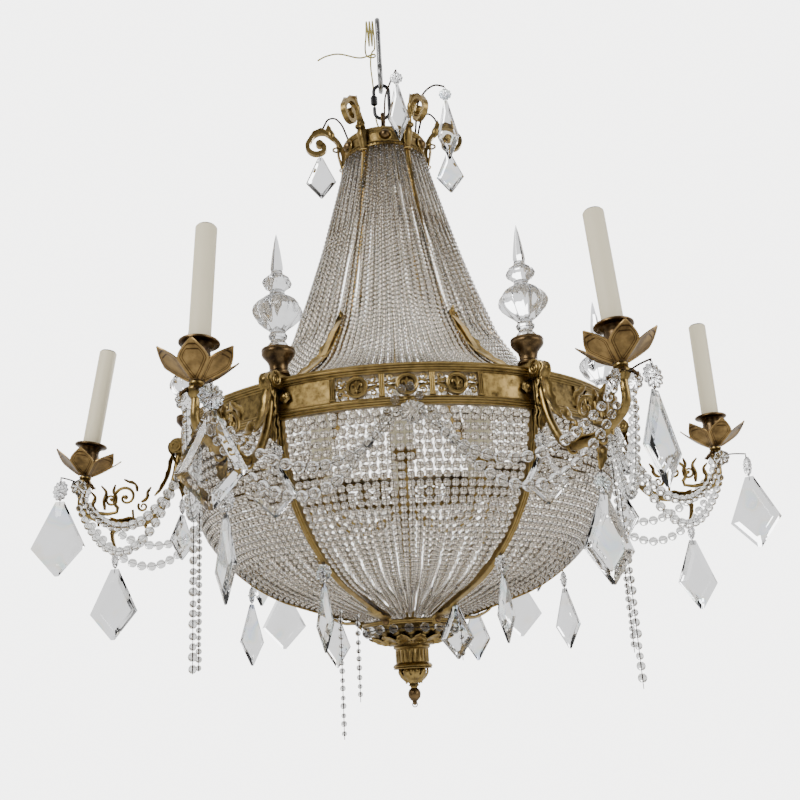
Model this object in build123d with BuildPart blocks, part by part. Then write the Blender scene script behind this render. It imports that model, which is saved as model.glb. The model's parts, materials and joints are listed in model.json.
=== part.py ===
"""A six-light crystal chandelier: a pierced gallery ring hung on bead strands,
with a bead basket below it, scroll arms round it and crystal drops on hooks.

Millimetres, +Z up. The origin is where the snap hook's upper bend bears on
the bar that carries it; every height below is measured from there.
The front of the chandelier faces -Y.
"""

import os
from math import cos, pi, radians, sin, tan

from build123d import *

# ---------------------------------------------------------------- driving sizes
# The whole frame
bays = 6                        # arms, posts, ribs and rods, one set to a bay
turn = 2.1                      # how far the chandelier has turned on its hook
gallery_drop = 690.0            # from the bar down to the gallery's top edge
crown_rise = 432.0              # from the gallery up to the crown's lower edge
basket_depth = 262.0            # from the gallery's top edge down to the bowl

# Gallery ring
gallery_radius = 300.0
gallery_height = 48.0
gallery_wall = 4.0
ledge_width = 34.0              # inner ledge that the strands are pinned to
ledge_thickness = 3.0
moulding_height = 10.0
moulding_stand = 3.0
roundel_radius = 12.85
roundel_pitch = 10.9            # degrees between roundels
roundels = 3                    # in each bay
pilaster_width = 6.5
pilaster_stand = 2.0
scroll_bar = 2.6                # openwork bar between roundel and pilaster

# Posts
post_width = 18.0
capital_rise = 7.5
capital_drop = 14.0
capital_reach = 24.0            # overhang in front of the gallery
column_radius = 3.5
column_let_in = 0.4             # how far the columns are let into the mouldings
collar_radius = 5.6
collar_height = 6.0
post_tip_drop = 27.0            # foliate tip below the gallery

# Finials
vase_radius = 20.0
vase_height = 32.5
finial_foot_radius = 13.0
finial_body_radius = 30.0
finial_body_height = 50.0
finial_collar_radius = 18.0
finial_spike_radius = 8.5
finial_height = 151.0
finial_lobes = 8

# Arms
arm_reach = 447.0               # axis of the candle, from the chandelier's axis
arm_radius = 4.5
arm_low = 111.0                 # lowest line of the arm, below the gallery's top
arm_end_drop = 57.0
rod_radius = 2.4
scroll_thickness = 3.0
scroll_width = 3.4
leaf_width = 14.0
leaf_drop = 143.0
leaf_place = 396.0

# Candles: inward lean of each, in degrees, anticlockwise from the front left
leans = (4.5, 4.0, 0.0, 2.0, 2.0, 8.0)
knop_radius = 10.0
knop_height = 16.0
petal_reach = 45.5
petal_notch = 33.0
petal_rise = 32.0
petal_sheet = 1.4
hub_radius = 8.0
cup_radius = 15.0
cup_height = 42.0
drip_radius = 22.0
drip_thickness = 4.0
sleeve_radius = 12.0
sleeve_wall = 1.5
sleeve_length = 142.0
holder_bore = 7.0
holder_length = 30.0
holder_depth = 24.0
holder_stand = 2.0
seat_gap = 0.2                  # round a sleeve in its cup and a holder in it

# Lights inside the basket
inner_reach = 128.0
inner_seat_drop = 56.0
inner_sleeve_length = 100.0
inner_hub_radius = 16.0
inner_hub_drop = 118.0
inner_cup_radius = 15.5
inner_cup_height = 12.0

# Crown
crown_radius = 61.5
crown_height = 30.0
crown_wall = 3.5
crown_plate = 4.0
boss_radius = 9.0
boss_stand = 5.0
crown_scroll_width = 8.0
crown_scroll_band = 6.5
stem_radius = 6.0
stem_collar_radius = 9.0
stem_collar_height = 14.0

# Rods, ribs and strands: places are (radius, height above the gallery's top)
rod_width = 7.5
rod_line = (
    (62, 436),
    (72, 369),
    (86, 298),
    (110, 197),
    (135, 131),
    (158, 86),
    (194, 50),
    (240, 18),
    (284, -3),
)
rod_leaf_width = 8.0
rod_leaf = ((136, 131), (143, 136), (170, 104), (197, 62), (194, 50), (158, 86))
tent_line = (                   # and (depth, width) of the strand there
    (61, crown_rise, 5.8, 5.0),
    (84, 340, 6.2, 5.6),
    (118, 220, 7.0, 6.5),
    (150, 127, 8.5, 7.5),
    (195, 55, 10.0, 8.5),
    (272, 0, 10.0, 9.0),
)
outline_steps = 7               # straight lengths in the basket's outline
rib_width = 9.0
rib_foot_width = 5.0
rib_thickness = 7.0
tent_strands_per_bay = 8
basket_strands_per_bay = 10
basket_bead = 11.0
basket_bead_low = 4.2
edge_bead = 12.0
edge_bead_radius = 294.0
swag_bead = 13.0
swag_head_radius = 307.0
swag_strands = ((66, 8, 68), (83, 22, 90))   # start below the gallery, end offset, sag
# Strings that hang straight down: (bay, distance aside, radius, depth below the gallery's top)
swag_strings = ((5, 6, 6, 322), (5, 26, 4, 320), (1, -6, 6, 366), (1, -26, 4, 325))
# and from the basket: (bay, strand, share of the basket's outline, the same depth)
low_strings = ((5, 7, 0.82, 405), (5, 8, 0.88, 362), (1, 2, 0.89, 318))
low_string_radius = 4.0

# Bowl and pendant turnings
bowl_radius = 66.0
bowl_plate = 4.0
bowl_bead = 10.0
bowl_bead_ring = 57.0
band_radius = 24.6
waist_radius = 20.5
flare_radius = 25.8
leaf_cup_radius = 17.0
neck_radius = 6.0
ball_radius = 8.5
band_drop = 29.0                # levels below the bowl's top
flare_drop = 60.0
pendant_drop = 108.0

# Hanging gear
bar_radius = 16.0               # the bar that the snap hook hangs on
hook_wire = 4.0
hook_inside = 117.0             # length inside the snap hook
gate_wire = 3.2
gate_top_drop = 32.0            # the hook's nose, below the bar's top
gate_hinge_drop = 96.0
gate_pin = 1.2
pin_play = 0.05                 # running clearance of pin and nut
link_wire = 2.75
link_inside = 9.0               # half the width inside the quick link
link_length = 66.0
link_gap = 8.0                  # gap in the link's left leg
link_gap_top = 146.0            # its upper end, below the bar's top
nut_cover = 11.0                # how far the nut is run up past that end
nut_radius = 5.5
nut_length = 13.0
eye_wire = 3.0
eye_inside = 6.0
hang_gap = 0.3                  # between pieces that hang in each other

# Supply wire: its bared tail and hitch, the wraps round the bar, and its fall
wire_radius = 1.3
wraps = 3
wrap_start = -18.8
wrap_pitch = 4.8
tail_points = [
    (-98, -10, -69),
    (-90, -10, -63.5),
    (-80, -10, -60),
    (-69, -10, -58),
    (-58, -10, -59.5),
    (-47, -10, -63.5),
    (-37, -10.5, -67.5),
    (-27, -11, -69),
    (-18, -11, -66),
    (-6, -8, -60),
    (-6, 8, -56),
    (-21, 11, -52),
    (-22, -7, -47),
]
fall_points = [
    (-11, 5, -46),
    (-14, 1, -62),
    (-14.5, 3, -79),
    (-13, 7, -96),
    (-12, 9, -112),
]
lead_points = [
    (-12, 9, -112.3),
    (-11.5, 9.6, -138),
    (-11.3, 9, -162),
    (-8.5, 7.5, -182),
    (-4, 3.5, -196),
]

# Crown wires, from their roots to their tips
crown_wire = 1.6
crown_wire_points = (
    [(2, -7, -206), (3, -12, -186), (4, -19, -166), (6, -26, -151), (13, -43, -143), (19, -60, -141), (24, -76, -141)],
    [(48, -14, -229), (52, -17, -190), (56, -20, -160), (71, -24, -142), (84, -27, -136), (99, -27, -141)],
    [(-50, -2, -229), (-56, -2, -208), (-64, -2, -183), (-74, -3, -171), (-86, -3, -172), (-97, -3.5, -195)],
    [(50, 8, -229), (55, 9, -196), (62, 10, -170), (72, 10, -162), (82, 10, -172), (88, 10, -190)],
    [(-30, -8, -229), (-27, -7, -209), (-18, -5, -201), (-4, -1, -206)],
)

# Drops: each is (kite width, kite length, rosette radius)
drop_eye = 1.6
drop_pin = 1.0
rosette_thickness = 8.0
kite_thickness = 9.0
kite_outline = ((0, 0.12, 0.5), (0.64, 1, 1), (1, 0.05, 0.25))
tip_kite = (74, 100, 14)
hook_kite = (74, 94, 12)
rib_kite = (44, 80, 11)
post_kite = (56, 62, 11)
hanger_reach = 42.0             # from the candle's axis to the tip drop
hanger_rise = 5.0
hanger_radius = 1.2
hanger_turns = (60, 0, 0, 0, 0, 60)
tip_yaws = (-32, 14, 48, -20, 28, 28)
hook_yaws = (-35, 2, -62, 20, -25, 71)
rib_yaws = (-30, 25, 40, 10, -15, -40)
post_yaws = (15, -20, 30, 0, 10, -25)
rib_drop_share = 0.52           # places along the basket's outline
rib_drop_seat = 1.1             # how far its eye tucks in towards the rib's flat face
low_drop_share = 0.85
low_kite = (43, 66, 0)

# ---------------------------------------------------------------- worked out
gallery_top = -gallery_drop
gallery_bottom = gallery_top - gallery_height
crown_bottom = gallery_top + crown_rise
crown_top = crown_bottom + crown_height
bowl_top = gallery_top - basket_depth
band_level = bowl_top - band_drop
flare_level = bowl_top - flare_drop
pendant_level = bowl_top - pendant_drop
first_post = -90 - 180 / bays + turn          # front left post
post_names = ("front_left", "front_right", "right", "back_right", "back_left", "left")
post_angles = [first_post + 360 / bays * n for n in range(bays)]
bay_angles = [angle + 180 / bays for angle in post_angles]
moulding_radius = gallery_radius + moulding_stand
ledge_inner = gallery_radius - ledge_width
column_centre = moulding_radius + column_radius - column_let_in
arm_start = column_centre + column_radius + seat_gap + arm_radius


def turned(angles):
    """Places round the chandelier's axis."""
    return [Location((0, 0, 0), (0, 0, angle)) for angle in angles]


def spread(angles, radius, height):
    """Places at a radius and a height, each facing outwards."""
    return [turn_by * Location((radius, 0, height)) for turn_by in turned(angles)]


def finish(piece, name):
    """Labels a finished piece and writes it."""
    piece.part.label = name
    export_step(piece.part, f"parts/{name}.step")


def arc_radii(points):
    """As large an arc at each corner of a route as its two runs allow."""
    radii = []
    for before, corner, after in zip(points, points[1:], points[2:]):
        first = Vector(*corner) - Vector(*before)
        second = Vector(*after) - Vector(*corner)
        half_turn = radians(first.get_angle(second)) / 2
        radii.append(0.45 * min(first.length, second.length) / tan(half_turn))
    return radii


def rod_along(points, radii, section_radius, sides):
    """A rod of flat-sided section along straight runs joined by arcs."""
    with BuildPart() as rod:
        with BuildLine():
            route = FilletPolyline(*points, radius=radii)
        with BuildSketch(Plane(origin=route @ 0, z_dir=route % 0)):
            RegularPolygon(section_radius, sides)
        sweep()
    return rod.part


os.makedirs("parts", exist_ok=True)

# ---------------------------------------------------------------- gallery ring
frieze_height = gallery_height - 2 * moulding_height
frieze_middle = gallery_top - gallery_height / 2
space = roundel_pitch * pi / 180 * gallery_radius - pilaster_width
roundel_angles = [
    bay + (count - (roundels - 1) / 2) * roundel_pitch
    for bay in bay_angles
    for count in range(roundels)
]
pilaster_angles = [
    bay + (count - roundels / 2) * roundel_pitch
    for bay in bay_angles
    for count in range(roundels + 1)
]
# The open work round one roundel, which hangs between two pilasters
with BuildPart() as open_work:
    with BuildSketch(Plane.YZ.offset(gallery_radius - 2 * gallery_wall)):
        with Locations((0, frieze_middle)):
            Rectangle(space, frieze_height)
            Circle(roundel_radius, mode=Mode.SUBTRACT)
            Rectangle(space, scroll_bar, mode=Mode.SUBTRACT)
            Rectangle(scroll_bar, frieze_height, mode=Mode.SUBTRACT)
    extrude(amount=3 * gallery_wall)
with BuildPart() as roundel_rim:
    with BuildSketch(Plane.YZ.offset(gallery_radius - 1)):
        with Locations((0, frieze_middle)):
            Circle(roundel_radius)
            Circle(roundel_radius - scroll_bar, mode=Mode.SUBTRACT)
    extrude(amount=1 + pilaster_stand)
with BuildPart() as pilaster:
    with Locations((gallery_radius, 0, frieze_middle)):
        Box(2 * pilaster_stand, pilaster_width, frieze_height)
with BuildPart() as gallery_ring:
    with BuildSketch(Plane.XZ):
        with BuildLine():
            wall_inside = gallery_radius - gallery_wall
            bead = moulding_height / 4
            Polyline(
                (ledge_inner, gallery_top),
                (moulding_radius, gallery_top),
                (moulding_radius, gallery_top - bead),
                (moulding_radius - bead / 2, gallery_top - moulding_height + bead),
                (gallery_radius, gallery_top - moulding_height),
                (gallery_radius, gallery_bottom + moulding_height),
                (moulding_radius - bead / 2, gallery_bottom + moulding_height - bead),
                (moulding_radius, gallery_bottom + bead),
                (moulding_radius - bead / 2, gallery_bottom),
                (wall_inside - gallery_wall, gallery_bottom),
                (wall_inside, gallery_bottom + moulding_height),
                (wall_inside, gallery_top - ledge_thickness),
                (ledge_inner, gallery_top - ledge_thickness),
                close=True,
            )
        make_face()
    revolve(axis=Axis.Z)
    with Locations(*turned(roundel_angles)):
        add(open_work.part, mode=Mode.SUBTRACT)
        add(roundel_rim.part)
    with Locations(*turned(pilaster_angles)):
        add(pilaster.part)
finish(gallery_ring, "gallery_ring")

# ---------------------------------------------------------------- posts
with BuildPart() as gallery_post:
    with BuildSketch(Plane.XZ):
        with BuildLine():
            nose = gallery_radius + capital_reach
            under = gallery_top - capital_drop
            crest = gallery_top + capital_rise
            back = gallery_radius - vase_radius + 2
            head = Polyline(
                (back, gallery_top),
                (back, crest),
                (moulding_radius + 6, crest),
            )
            scroll = ThreePointArc(head @ 1, (nose, gallery_top - 2), (nose - 5, under))
            Polyline(scroll @ 1, (gallery_radius, under), (gallery_radius, gallery_top), head @ 0)
        make_face()
    extrude(amount=post_width / 2, both=True)
    with BuildSketch(Plane.XY.offset(gallery_bottom)):
        with Locations((column_centre, 0)):
            Circle(column_radius)
    extrude(amount=gallery_height - capital_drop)
    with BuildSketch(Plane.XY.offset(gallery_bottom)):
        with Locations((column_centre, 0)):
            Circle(collar_radius)
    extrude(amount=-collar_height)
    with BuildSketch(Plane.XY.offset(gallery_bottom - collar_height)):
        with Locations((column_centre, 0)):
            RegularPolygon(collar_radius, 6)
    with BuildSketch(Plane.XY.offset(gallery_bottom - post_tip_drop)):
        with Locations((column_centre, 0)):
            RegularPolygon(1.5, 6)
    loft()
    add(gallery_ring.part, mode=Mode.SUBTRACT)
with BuildPart() as gallery_posts:
    with Locations(*turned(post_angles)):
        add(gallery_post.part)
finish(gallery_posts, "gallery_posts")

# ---------------------------------------------------------------- vases and finials
vase_centre = gallery_radius - gallery_wall
with BuildPart() as vase:
    with BuildSketch(Plane.XZ):
        with BuildLine():
            foot = vase_radius * 0.55
            outline = Polyline(
                (0, 0),
                (foot + 1.5, 0),
                (foot + 1.5, 4),
                (foot, 6),
                (foot + 1, vase_height * 0.55),
            )
            lip = ThreePointArc(
                outline @ 1, (vase_radius - 4, vase_height * 0.72), (vase_radius, vase_height - 6)
            )
            Polyline(lip @ 1, (vase_radius, vase_height), (0, vase_height), (0, 0))
        make_face()
    revolve(axis=Axis.Z)
with BuildPart() as finial_vases:
    with Locations(*spread(post_angles, vase_centre, gallery_top + capital_rise)):
        add(vase.part)
finish(finial_vases, "finial_vases")

with BuildPart() as finial:
    body_top = finial_body_height
    collar_top = body_top + 14
    levels = (
        (0, finial_foot_radius),
        (body_top * 0.5, finial_body_radius),
        (body_top, finial_body_radius * 0.45),
    )
    for height, radius in levels:
        with BuildSketch(Plane.XY.offset(height)):
            RegularPolygon(radius, finial_lobes)
    loft(ruled=True)
    for height, radius in (
        (body_top, finial_collar_radius * 0.6),
        (body_top + 5, finial_collar_radius),
        (collar_top, finial_spike_radius),
    ):
        with BuildSketch(Plane.XY.offset(height)):
            RegularPolygon(radius, finial_lobes)
    loft(ruled=True)
    for height, radius in (
        (collar_top, finial_spike_radius * 0.6),
        (collar_top + 18, finial_spike_radius),
        (finial_height, 0.8),
    ):
        with BuildSketch(Plane.XY.offset(height)):
            RegularPolygon(radius, 6)
    loft(ruled=True)
with BuildPart() as glass_finials:
    finial_seat = gallery_top + capital_rise + vase_height
    with Locations(*spread(post_angles, vase_centre, finial_seat)):
        add(finial.part)
finish(glass_finials, "glass_finials")

# ---------------------------------------------------------------- arms
low_line = gallery_top - arm_low
arm_end = gallery_top - arm_end_drop
rise_start = gallery_top - 0.78 * arm_low


def lean_of(post):
    """Inward lean of a post's candle, in radians."""
    return radians(leans[post])


def arm_tip(post):
    """Where the arm ends and its knop begins, in the arm's own plane."""
    lean = lean_of(post)
    rise = arm_end - rise_start
    return (arm_reach - rise * tan(lean), arm_end)


def candle_place(post, height=0.0):
    """A place on the candle's axis, above the end of its arm."""
    reach, level = arm_tip(post)
    in_plane = Location((reach, 0, level), (0, -leans[post], 0))
    return turned([post_angles[post]])[0] * in_plane * Location((0, 0, height))


def arm_route(post):
    """Down from the capital, out along the low line and up to the candle."""
    tip = arm_tip(post)
    corners = (
        (arm_start, gallery_top - capital_drop + 1),
        (arm_start + 8, gallery_top - 62),
        (arm_start + 34, low_line + 3),
        (arm_reach - 46, low_line),
        (arm_reach, rise_start),
        tip,
    )
    return [(x, 0, z) for x, z in corners]


with BuildPart() as arm_leaf:
    # A leaf under each arm carries the lower drop
    with BuildSketch(Plane.XY.offset(low_line - arm_radius + 1)):
        with Locations((leaf_place, 0)):
            Rectangle(5, leaf_width * 0.6)
    with BuildSketch(Plane.XY.offset((low_line + gallery_top - leaf_drop) / 2)):
        with Locations((leaf_place + 2, 0)):
            Rectangle(4, leaf_width)
    with BuildSketch(Plane.XY.offset(gallery_top - leaf_drop)):
        with Locations((leaf_place, 0)):
            Rectangle(3, 4)
    loft(ruled=True)
with BuildPart() as arm_scroll:
    # Scrollwork standing on the arm
    with BuildSketch(Plane.XZ):
        with BuildLine():
            stalk = ThreePointArc(
                (arm_reach - 13, gallery_top - 84),
                (410, gallery_top - 95),
                (386, gallery_top - 91),
            )
            outer = ThreePointArc(stalk @ 1, (370, gallery_top - 73), (384, gallery_top - 56))
            inner = ThreePointArc(outer @ 1, (397, gallery_top - 68), (388, gallery_top - 80))
            ThreePointArc(inner @ 1, (380, gallery_top - 76), (384, gallery_top - 68))
        trace(line_width=scroll_width)
        with Locations((384, gallery_top - 70)):
            Circle(3.4)
        with BuildLine():
            Polyline(
                (398, gallery_top - 92),
                (402, gallery_top - 68),
                (414, gallery_top - 54),
                (411, gallery_top - 70),
                (403, gallery_top - 92),
                close=True,
            )
        make_face()
        # Two short stems join the scroll to the arm
        for place in (400, arm_reach - 18):
            with Locations((place, (gallery_top - 90 + low_line) / 2)):
                Rectangle(scroll_width, gallery_top - 84 - low_line)
    extrude(amount=scroll_thickness / 2, both=True)
with BuildPart() as candle_arms:
    for post in range(bays):
        arm = rod_along(arm_route(post), (60, 30, 34, 26), arm_radius, 8)
        with Locations(*turned([post_angles[post]])):
            add(arm)
    with Locations(*turned(post_angles)):
        add(arm_leaf.part)
        add(arm_scroll.part)
    add(gallery_posts.part, mode=Mode.SUBTRACT)
finish(candle_arms, "candle_arms")

# ---------------------------------------------------------------- candles
with BuildPart() as bobeche:
    # A six-sided dish: its rim is cut to petal points
    half = cos(pi / 6)
    with BuildSketch(Plane.XY.offset(knop_height)):
        RegularPolygon(hub_radius / half, 6)
    with BuildSketch(Plane.XY.offset(knop_height + petal_rise)):
        RegularPolygon(petal_reach / half, 6)
    loft()
    with BuildSketch(Plane.XY.offset(knop_height + petal_sheet)):
        RegularPolygon(hub_radius / half, 6)
    with BuildSketch(Plane.XY.offset(knop_height + petal_sheet + petal_rise)):
        RegularPolygon(petal_reach / half, 6)
    loft(mode=Mode.SUBTRACT)
    with BuildSketch(Plane.XY.offset(knop_height)) as petals:
        with BuildLine():
            points = [
                (
                    (petal_notch if n % 2 else petal_reach) * cos(radians(30 * n + 30)),
                    (petal_notch if n % 2 else petal_reach) * sin(radians(30 * n + 30)),
                )
                for n in range(12)
            ]
            Polyline(*points, close=True)
        make_face()
    extrude(amount=petal_rise + petal_sheet, mode=Mode.INTERSECT)

with BuildPart() as knop:
    with BuildSketch(Plane.XZ):
        with BuildLine():
            base = Line((0, 0), (arm_radius + 1, 0))
            belly = ThreePointArc(
                base @ 1, (knop_radius, knop_height / 2), (hub_radius - 2, knop_height)
            )
            Polyline(belly @ 1, (0, knop_height), (0, 0))
        make_face()
    revolve(axis=Axis.Z)
with BuildPart() as knop_leaf:
    # One of the four leaf tips round the knop
    for out, thick in ((knop_radius - 5, 2.5), (knop_radius, 4.0), (knop_radius + 5, 1.5)):
        with BuildSketch(Plane.YZ.offset(out)):
            with Locations((0, hanger_rise)):
                RegularPolygon(thick, 6)
    loft(ruled=True)
with BuildPart() as hanger:
    # The wire that carries the tip drop
    with BuildSketch(Plane.YZ):
        with Locations((0, hanger_rise)):
            RegularPolygon(hanger_radius, 6)
    extrude(amount=hanger_reach + drop_eye)

cup_seat = knop_height + petal_sheet
disc_base = cup_seat + cup_height
with BuildPart() as cup:
    with BuildSketch(Plane.XZ):
        with BuildLine():
            stalk = Line((0, cup_seat), (hub_radius - 1, cup_seat))
            side = ThreePointArc(
                stalk @ 1, (cup_radius - 1, cup_seat + 9), (cup_radius, cup_seat + 18)
            )
            Polyline(
                side @ 1,
                (cup_radius, disc_base),
                (drip_radius, disc_base),
                (drip_radius, disc_base + drip_thickness),
                (sleeve_radius + seat_gap, disc_base + drip_thickness),
                (sleeve_radius + seat_gap, disc_base),
                (0, disc_base),
                (0, cup_seat),
            )
        make_face()
    revolve(axis=Axis.Z)


def tube(length):
    """A candle sleeve, open at both ends."""
    with BuildPart() as sleeve:
        with BuildSketch():
            Circle(sleeve_radius)
            Circle(sleeve_radius - sleeve_wall, mode=Mode.SUBTRACT)
        extrude(amount=length)
    return sleeve.part


holder_radius = sleeve_radius - sleeve_wall - seat_gap
with BuildPart() as holder:
    with BuildSketch():
        Circle(holder_radius)
    extrude(amount=holder_length)
    with Locations((0, 0, holder_length)):
        Hole(holder_bore, holder_depth)

posts = range(bays)
with BuildPart() as bobeches:
    with Locations(*[candle_place(post) for post in posts]):
        add(bobeche.part)
finish(bobeches, "bobeches")

with BuildPart() as arm_knops:
    for post in posts:
        with Locations(candle_place(post)):
            add(knop.part)
            with PolarLocations(0, 4):
                add(knop_leaf.part)
        with Locations(candle_place(post) * Location((0, 0, 0), (0, 0, hanger_turns[post]))):
            add(hanger.part)
finish(arm_knops, "arm_knops")

# Lights inside the basket stand between the posts
inner_seat = gallery_top - inner_seat_drop
inner_places = spread(bay_angles, inner_reach, inner_seat)
sleeve_places = [candle_place(post, disc_base) for post in posts]
with BuildPart() as candle_cups:
    with Locations(*[candle_place(post) for post in posts]):
        add(cup.part)
finish(candle_cups, "candle_cups")

with BuildPart() as candle_sleeves:
    with Locations(*sleeve_places):
        add(tube(sleeve_length))
    with Locations(*inner_places):
        add(tube(inner_sleeve_length))
finish(candle_sleeves, "candle_sleeves")

holder_rise = sleeve_length + holder_stand - holder_length
inner_holder_rise = inner_sleeve_length + holder_stand - holder_length
with BuildPart() as lamp_holders:
    with Locations(*[candle_place(post, disc_base + holder_rise) for post in posts]):
        add(holder.part)
    with Locations(*spread(bay_angles, inner_reach, inner_seat + inner_holder_rise)):
        add(holder.part)
finish(lamp_holders, "lamp_holders")

# ---------------------------------------------------------------- central stem
with BuildPart() as central_stem:
    stem_top = crown_top - crown_plate
    with BuildSketch(Plane.XY.offset(bowl_top)):
        Circle(stem_radius)
    extrude(amount=stem_top - bowl_top)
    for level in (stem_top - stem_collar_height, bowl_top):
        with BuildSketch(Plane.XY.offset(level)):
            Circle(stem_collar_radius)
        extrude(amount=stem_collar_height)
finish(central_stem, "central_stem")

hub_level = gallery_top - inner_hub_drop
with BuildPart() as inner_arm:
    with BuildSketch(Plane.XZ):
        with BuildLine():
            ThreePointArc(
                (inner_hub_radius - 2, hub_level + 8),
                (inner_reach * 0.62, hub_level - 14),
                (inner_reach, inner_seat - inner_cup_height + 1),
            )
        trace(line_width=6)
    extrude(amount=3, both=True)
    with Locations((inner_reach, 0, inner_seat - inner_cup_height / 2)):
        Cylinder(inner_cup_radius, inner_cup_height)
with BuildPart() as inner_arms:
    with BuildSketch(Plane.XY.offset(hub_level)):
        Circle(inner_hub_radius)
    extrude(amount=18)
    with Locations(*turned(bay_angles)):
        add(inner_arm.part)
    add(central_stem.part, mode=Mode.SUBTRACT)
finish(inner_arms, "inner_arms")

# ---------------------------------------------------------------- crown
with BuildPart() as crown_boss:
    with BuildSketch(Plane.YZ.offset(crown_radius - 2)):
        with Locations((0, crown_bottom + crown_height / 2)):
            Circle(boss_radius)
    extrude(amount=2 + boss_stand, taper=20)
with BuildPart() as crown_ring:
    with BuildSketch(Plane.XZ):
        with BuildLine():
            Polyline(
                (0, crown_top),
                (crown_radius + 1.5, crown_top),
                (crown_radius + 2.5, crown_top - 3),
                (crown_radius, crown_top - 6),
                (crown_radius, crown_bottom + 5),
                (crown_radius + 2, crown_bottom + 3),
                (crown_radius + 2, crown_bottom),
                (crown_radius - 8, crown_bottom),
                (crown_radius - 8, crown_bottom + 3),
                (crown_radius - crown_wall, crown_bottom + 5),
                (crown_radius - crown_wall, crown_top - crown_plate),
                (0, crown_top - crown_plate),
                close=True,
            )
        make_face()
    revolve(axis=Axis.Z)
    # Rosette bosses between the scrolls
    with Locations(*turned(bay_angles)):
        add(crown_boss.part)
finish(crown_ring, "crown_ring")

with BuildPart() as crown_scroll:
    with BuildSketch(Plane.XZ):
        with BuildLine():
            root = (crown_radius + crown_scroll_band / 2, crown_bottom + 2)
            stalk = ThreePointArc(
                root, (crown_radius + 7, crown_bottom + 36), (crown_radius + 20, crown_bottom + 54)
            )
            brow = ThreePointArc(
                stalk @ 1, (crown_radius + 38, crown_bottom + 61), (crown_radius + 53, crown_bottom + 48)
            )
            cheek = ThreePointArc(
                brow @ 1, (crown_radius + 55, crown_bottom + 30), (crown_radius + 38, crown_bottom + 25)
            )
            ThreePointArc(
                cheek @ 1, (crown_radius + 31, crown_bottom + 34), (crown_radius + 38, crown_bottom + 42)
            )
        trace(line_width=crown_scroll_band)
        # The bud that stands on the scroll
        with BuildLine():
            Polyline(
                (crown_radius + 14, crown_bottom + 45),
                (crown_radius + 24, crown_bottom + 76),
                (crown_radius + 31, crown_bottom + 58),
                close=True,
            )
        make_face()
    extrude(amount=crown_scroll_width / 2, both=True)
    add(crown_ring.part, mode=Mode.SUBTRACT)
with BuildPart() as crown_scrolls:
    with Locations(*turned(post_angles)):
        add(crown_scroll.part)
finish(crown_scrolls, "crown_scrolls")

# ---------------------------------------------------------------- hanging gear
# Hook and link hang in each other: the hook lies in the YZ plane, the link in XZ
hook_half = bar_radius + hook_wire
hook_arc_low = -(hook_inside - bar_radius)
hook_bottom = -(hook_inside + hook_wire)
link_top = hook_bottom + hook_wire + hang_gap + link_wire
link_bottom = link_top + 2 * link_wire - link_length
link_half = link_inside + link_wire
eye_centre = link_bottom + link_wire + hang_gap - eye_inside
eye_low = eye_centre - eye_inside - 2 * eye_wire
ear_radius = hook_wire + 1
tongue_half = 1.5
with BuildPart() as gate_ears:
    with Locations((0, -hook_half, -gate_hinge_drop)):
        Cylinder(ear_radius, 2 * hook_wire, rotation=(0, 90, 0))
with BuildPart() as snap_hook:
    with BuildLine(Plane.YZ):
        nose = Line((-hook_half, -gate_top_drop), (-hook_half, -bar_radius))
        upper = ThreePointArc(nose @ 1, (0, hook_wire), (hook_half, -bar_radius))
        back = Line(upper @ 1, (hook_half, hook_arc_low))
        lower = ThreePointArc(back @ 1, (0, hook_bottom), (-hook_half, hook_arc_low))
        Line(lower @ 1, (-hook_half, -gate_hinge_drop - 1))
    with BuildSketch(Plane(origin=nose @ 0, z_dir=nose % 0)):
        Circle(hook_wire)
    sweep()
    add(gate_ears.part)
    # Slot for the gate's tongue, and the pin across it
    slot_floor = -gate_hinge_drop - ear_radius + 0.4
    with Locations((0, -hook_half, slot_floor)):
        Box(
            2 * (tongue_half + hang_gap),
            4 * hook_wire,
            4 * hook_wire,
            align=(Align.CENTER, Align.CENTER, Align.MIN),
            mode=Mode.SUBTRACT,
        )
    with Locations((0, -hook_half, -gate_hinge_drop)):
        Cylinder(gate_pin, 2 * hook_wire, rotation=(0, 90, 0))
finish(snap_hook, "snap_hook")

with BuildPart() as hook_gate:
    gate_foot = -gate_hinge_drop + ear_radius + hang_gap
    with BuildSketch(Plane.XY.offset(gate_foot)):
        with Locations((0, -hook_half)):
            Circle(gate_wire)
    extrude(amount=-gate_top_drop - hang_gap - gate_foot)
    with BuildSketch(Plane.YZ.offset(-tongue_half)):
        with Locations((-hook_half, -gate_hinge_drop)):
            Circle(ear_radius - 0.8)
        with Locations((-hook_half, (gate_foot - gate_hinge_drop) / 2)):
            Rectangle(2 * gate_wire, gate_foot + gate_hinge_drop)
    extrude(amount=2 * tongue_half)
    with BuildSketch(Plane.YZ.offset(-hook_wire)):
        with Locations((-hook_half, -gate_hinge_drop)):
            Circle(gate_pin + pin_play)
    extrude(amount=2 * hook_wire, mode=Mode.SUBTRACT)
finish(hook_gate, "hook_gate")

with BuildPart() as quick_link:
    link_shoulder = link_top - link_half
    link_heel = link_bottom + link_half
    with BuildLine(Plane.XZ):
        gap_top = Line((-link_half, -link_gap_top), (-link_half, link_shoulder))
        arch = ThreePointArc(gap_top @ 1, (0, link_top), (link_half, link_shoulder))
        leg = Line(arch @ 1, (link_half, link_heel))
        cradle = ThreePointArc(leg @ 1, (0, link_bottom), (-link_half, link_heel))
        Line(cradle @ 1, (-link_half, -link_gap_top - link_gap))
    with BuildSketch(Plane(origin=gap_top @ 0, z_dir=gap_top % 0)):
        Circle(link_wire)
    sweep()
finish(quick_link, "quick_link")

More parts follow.
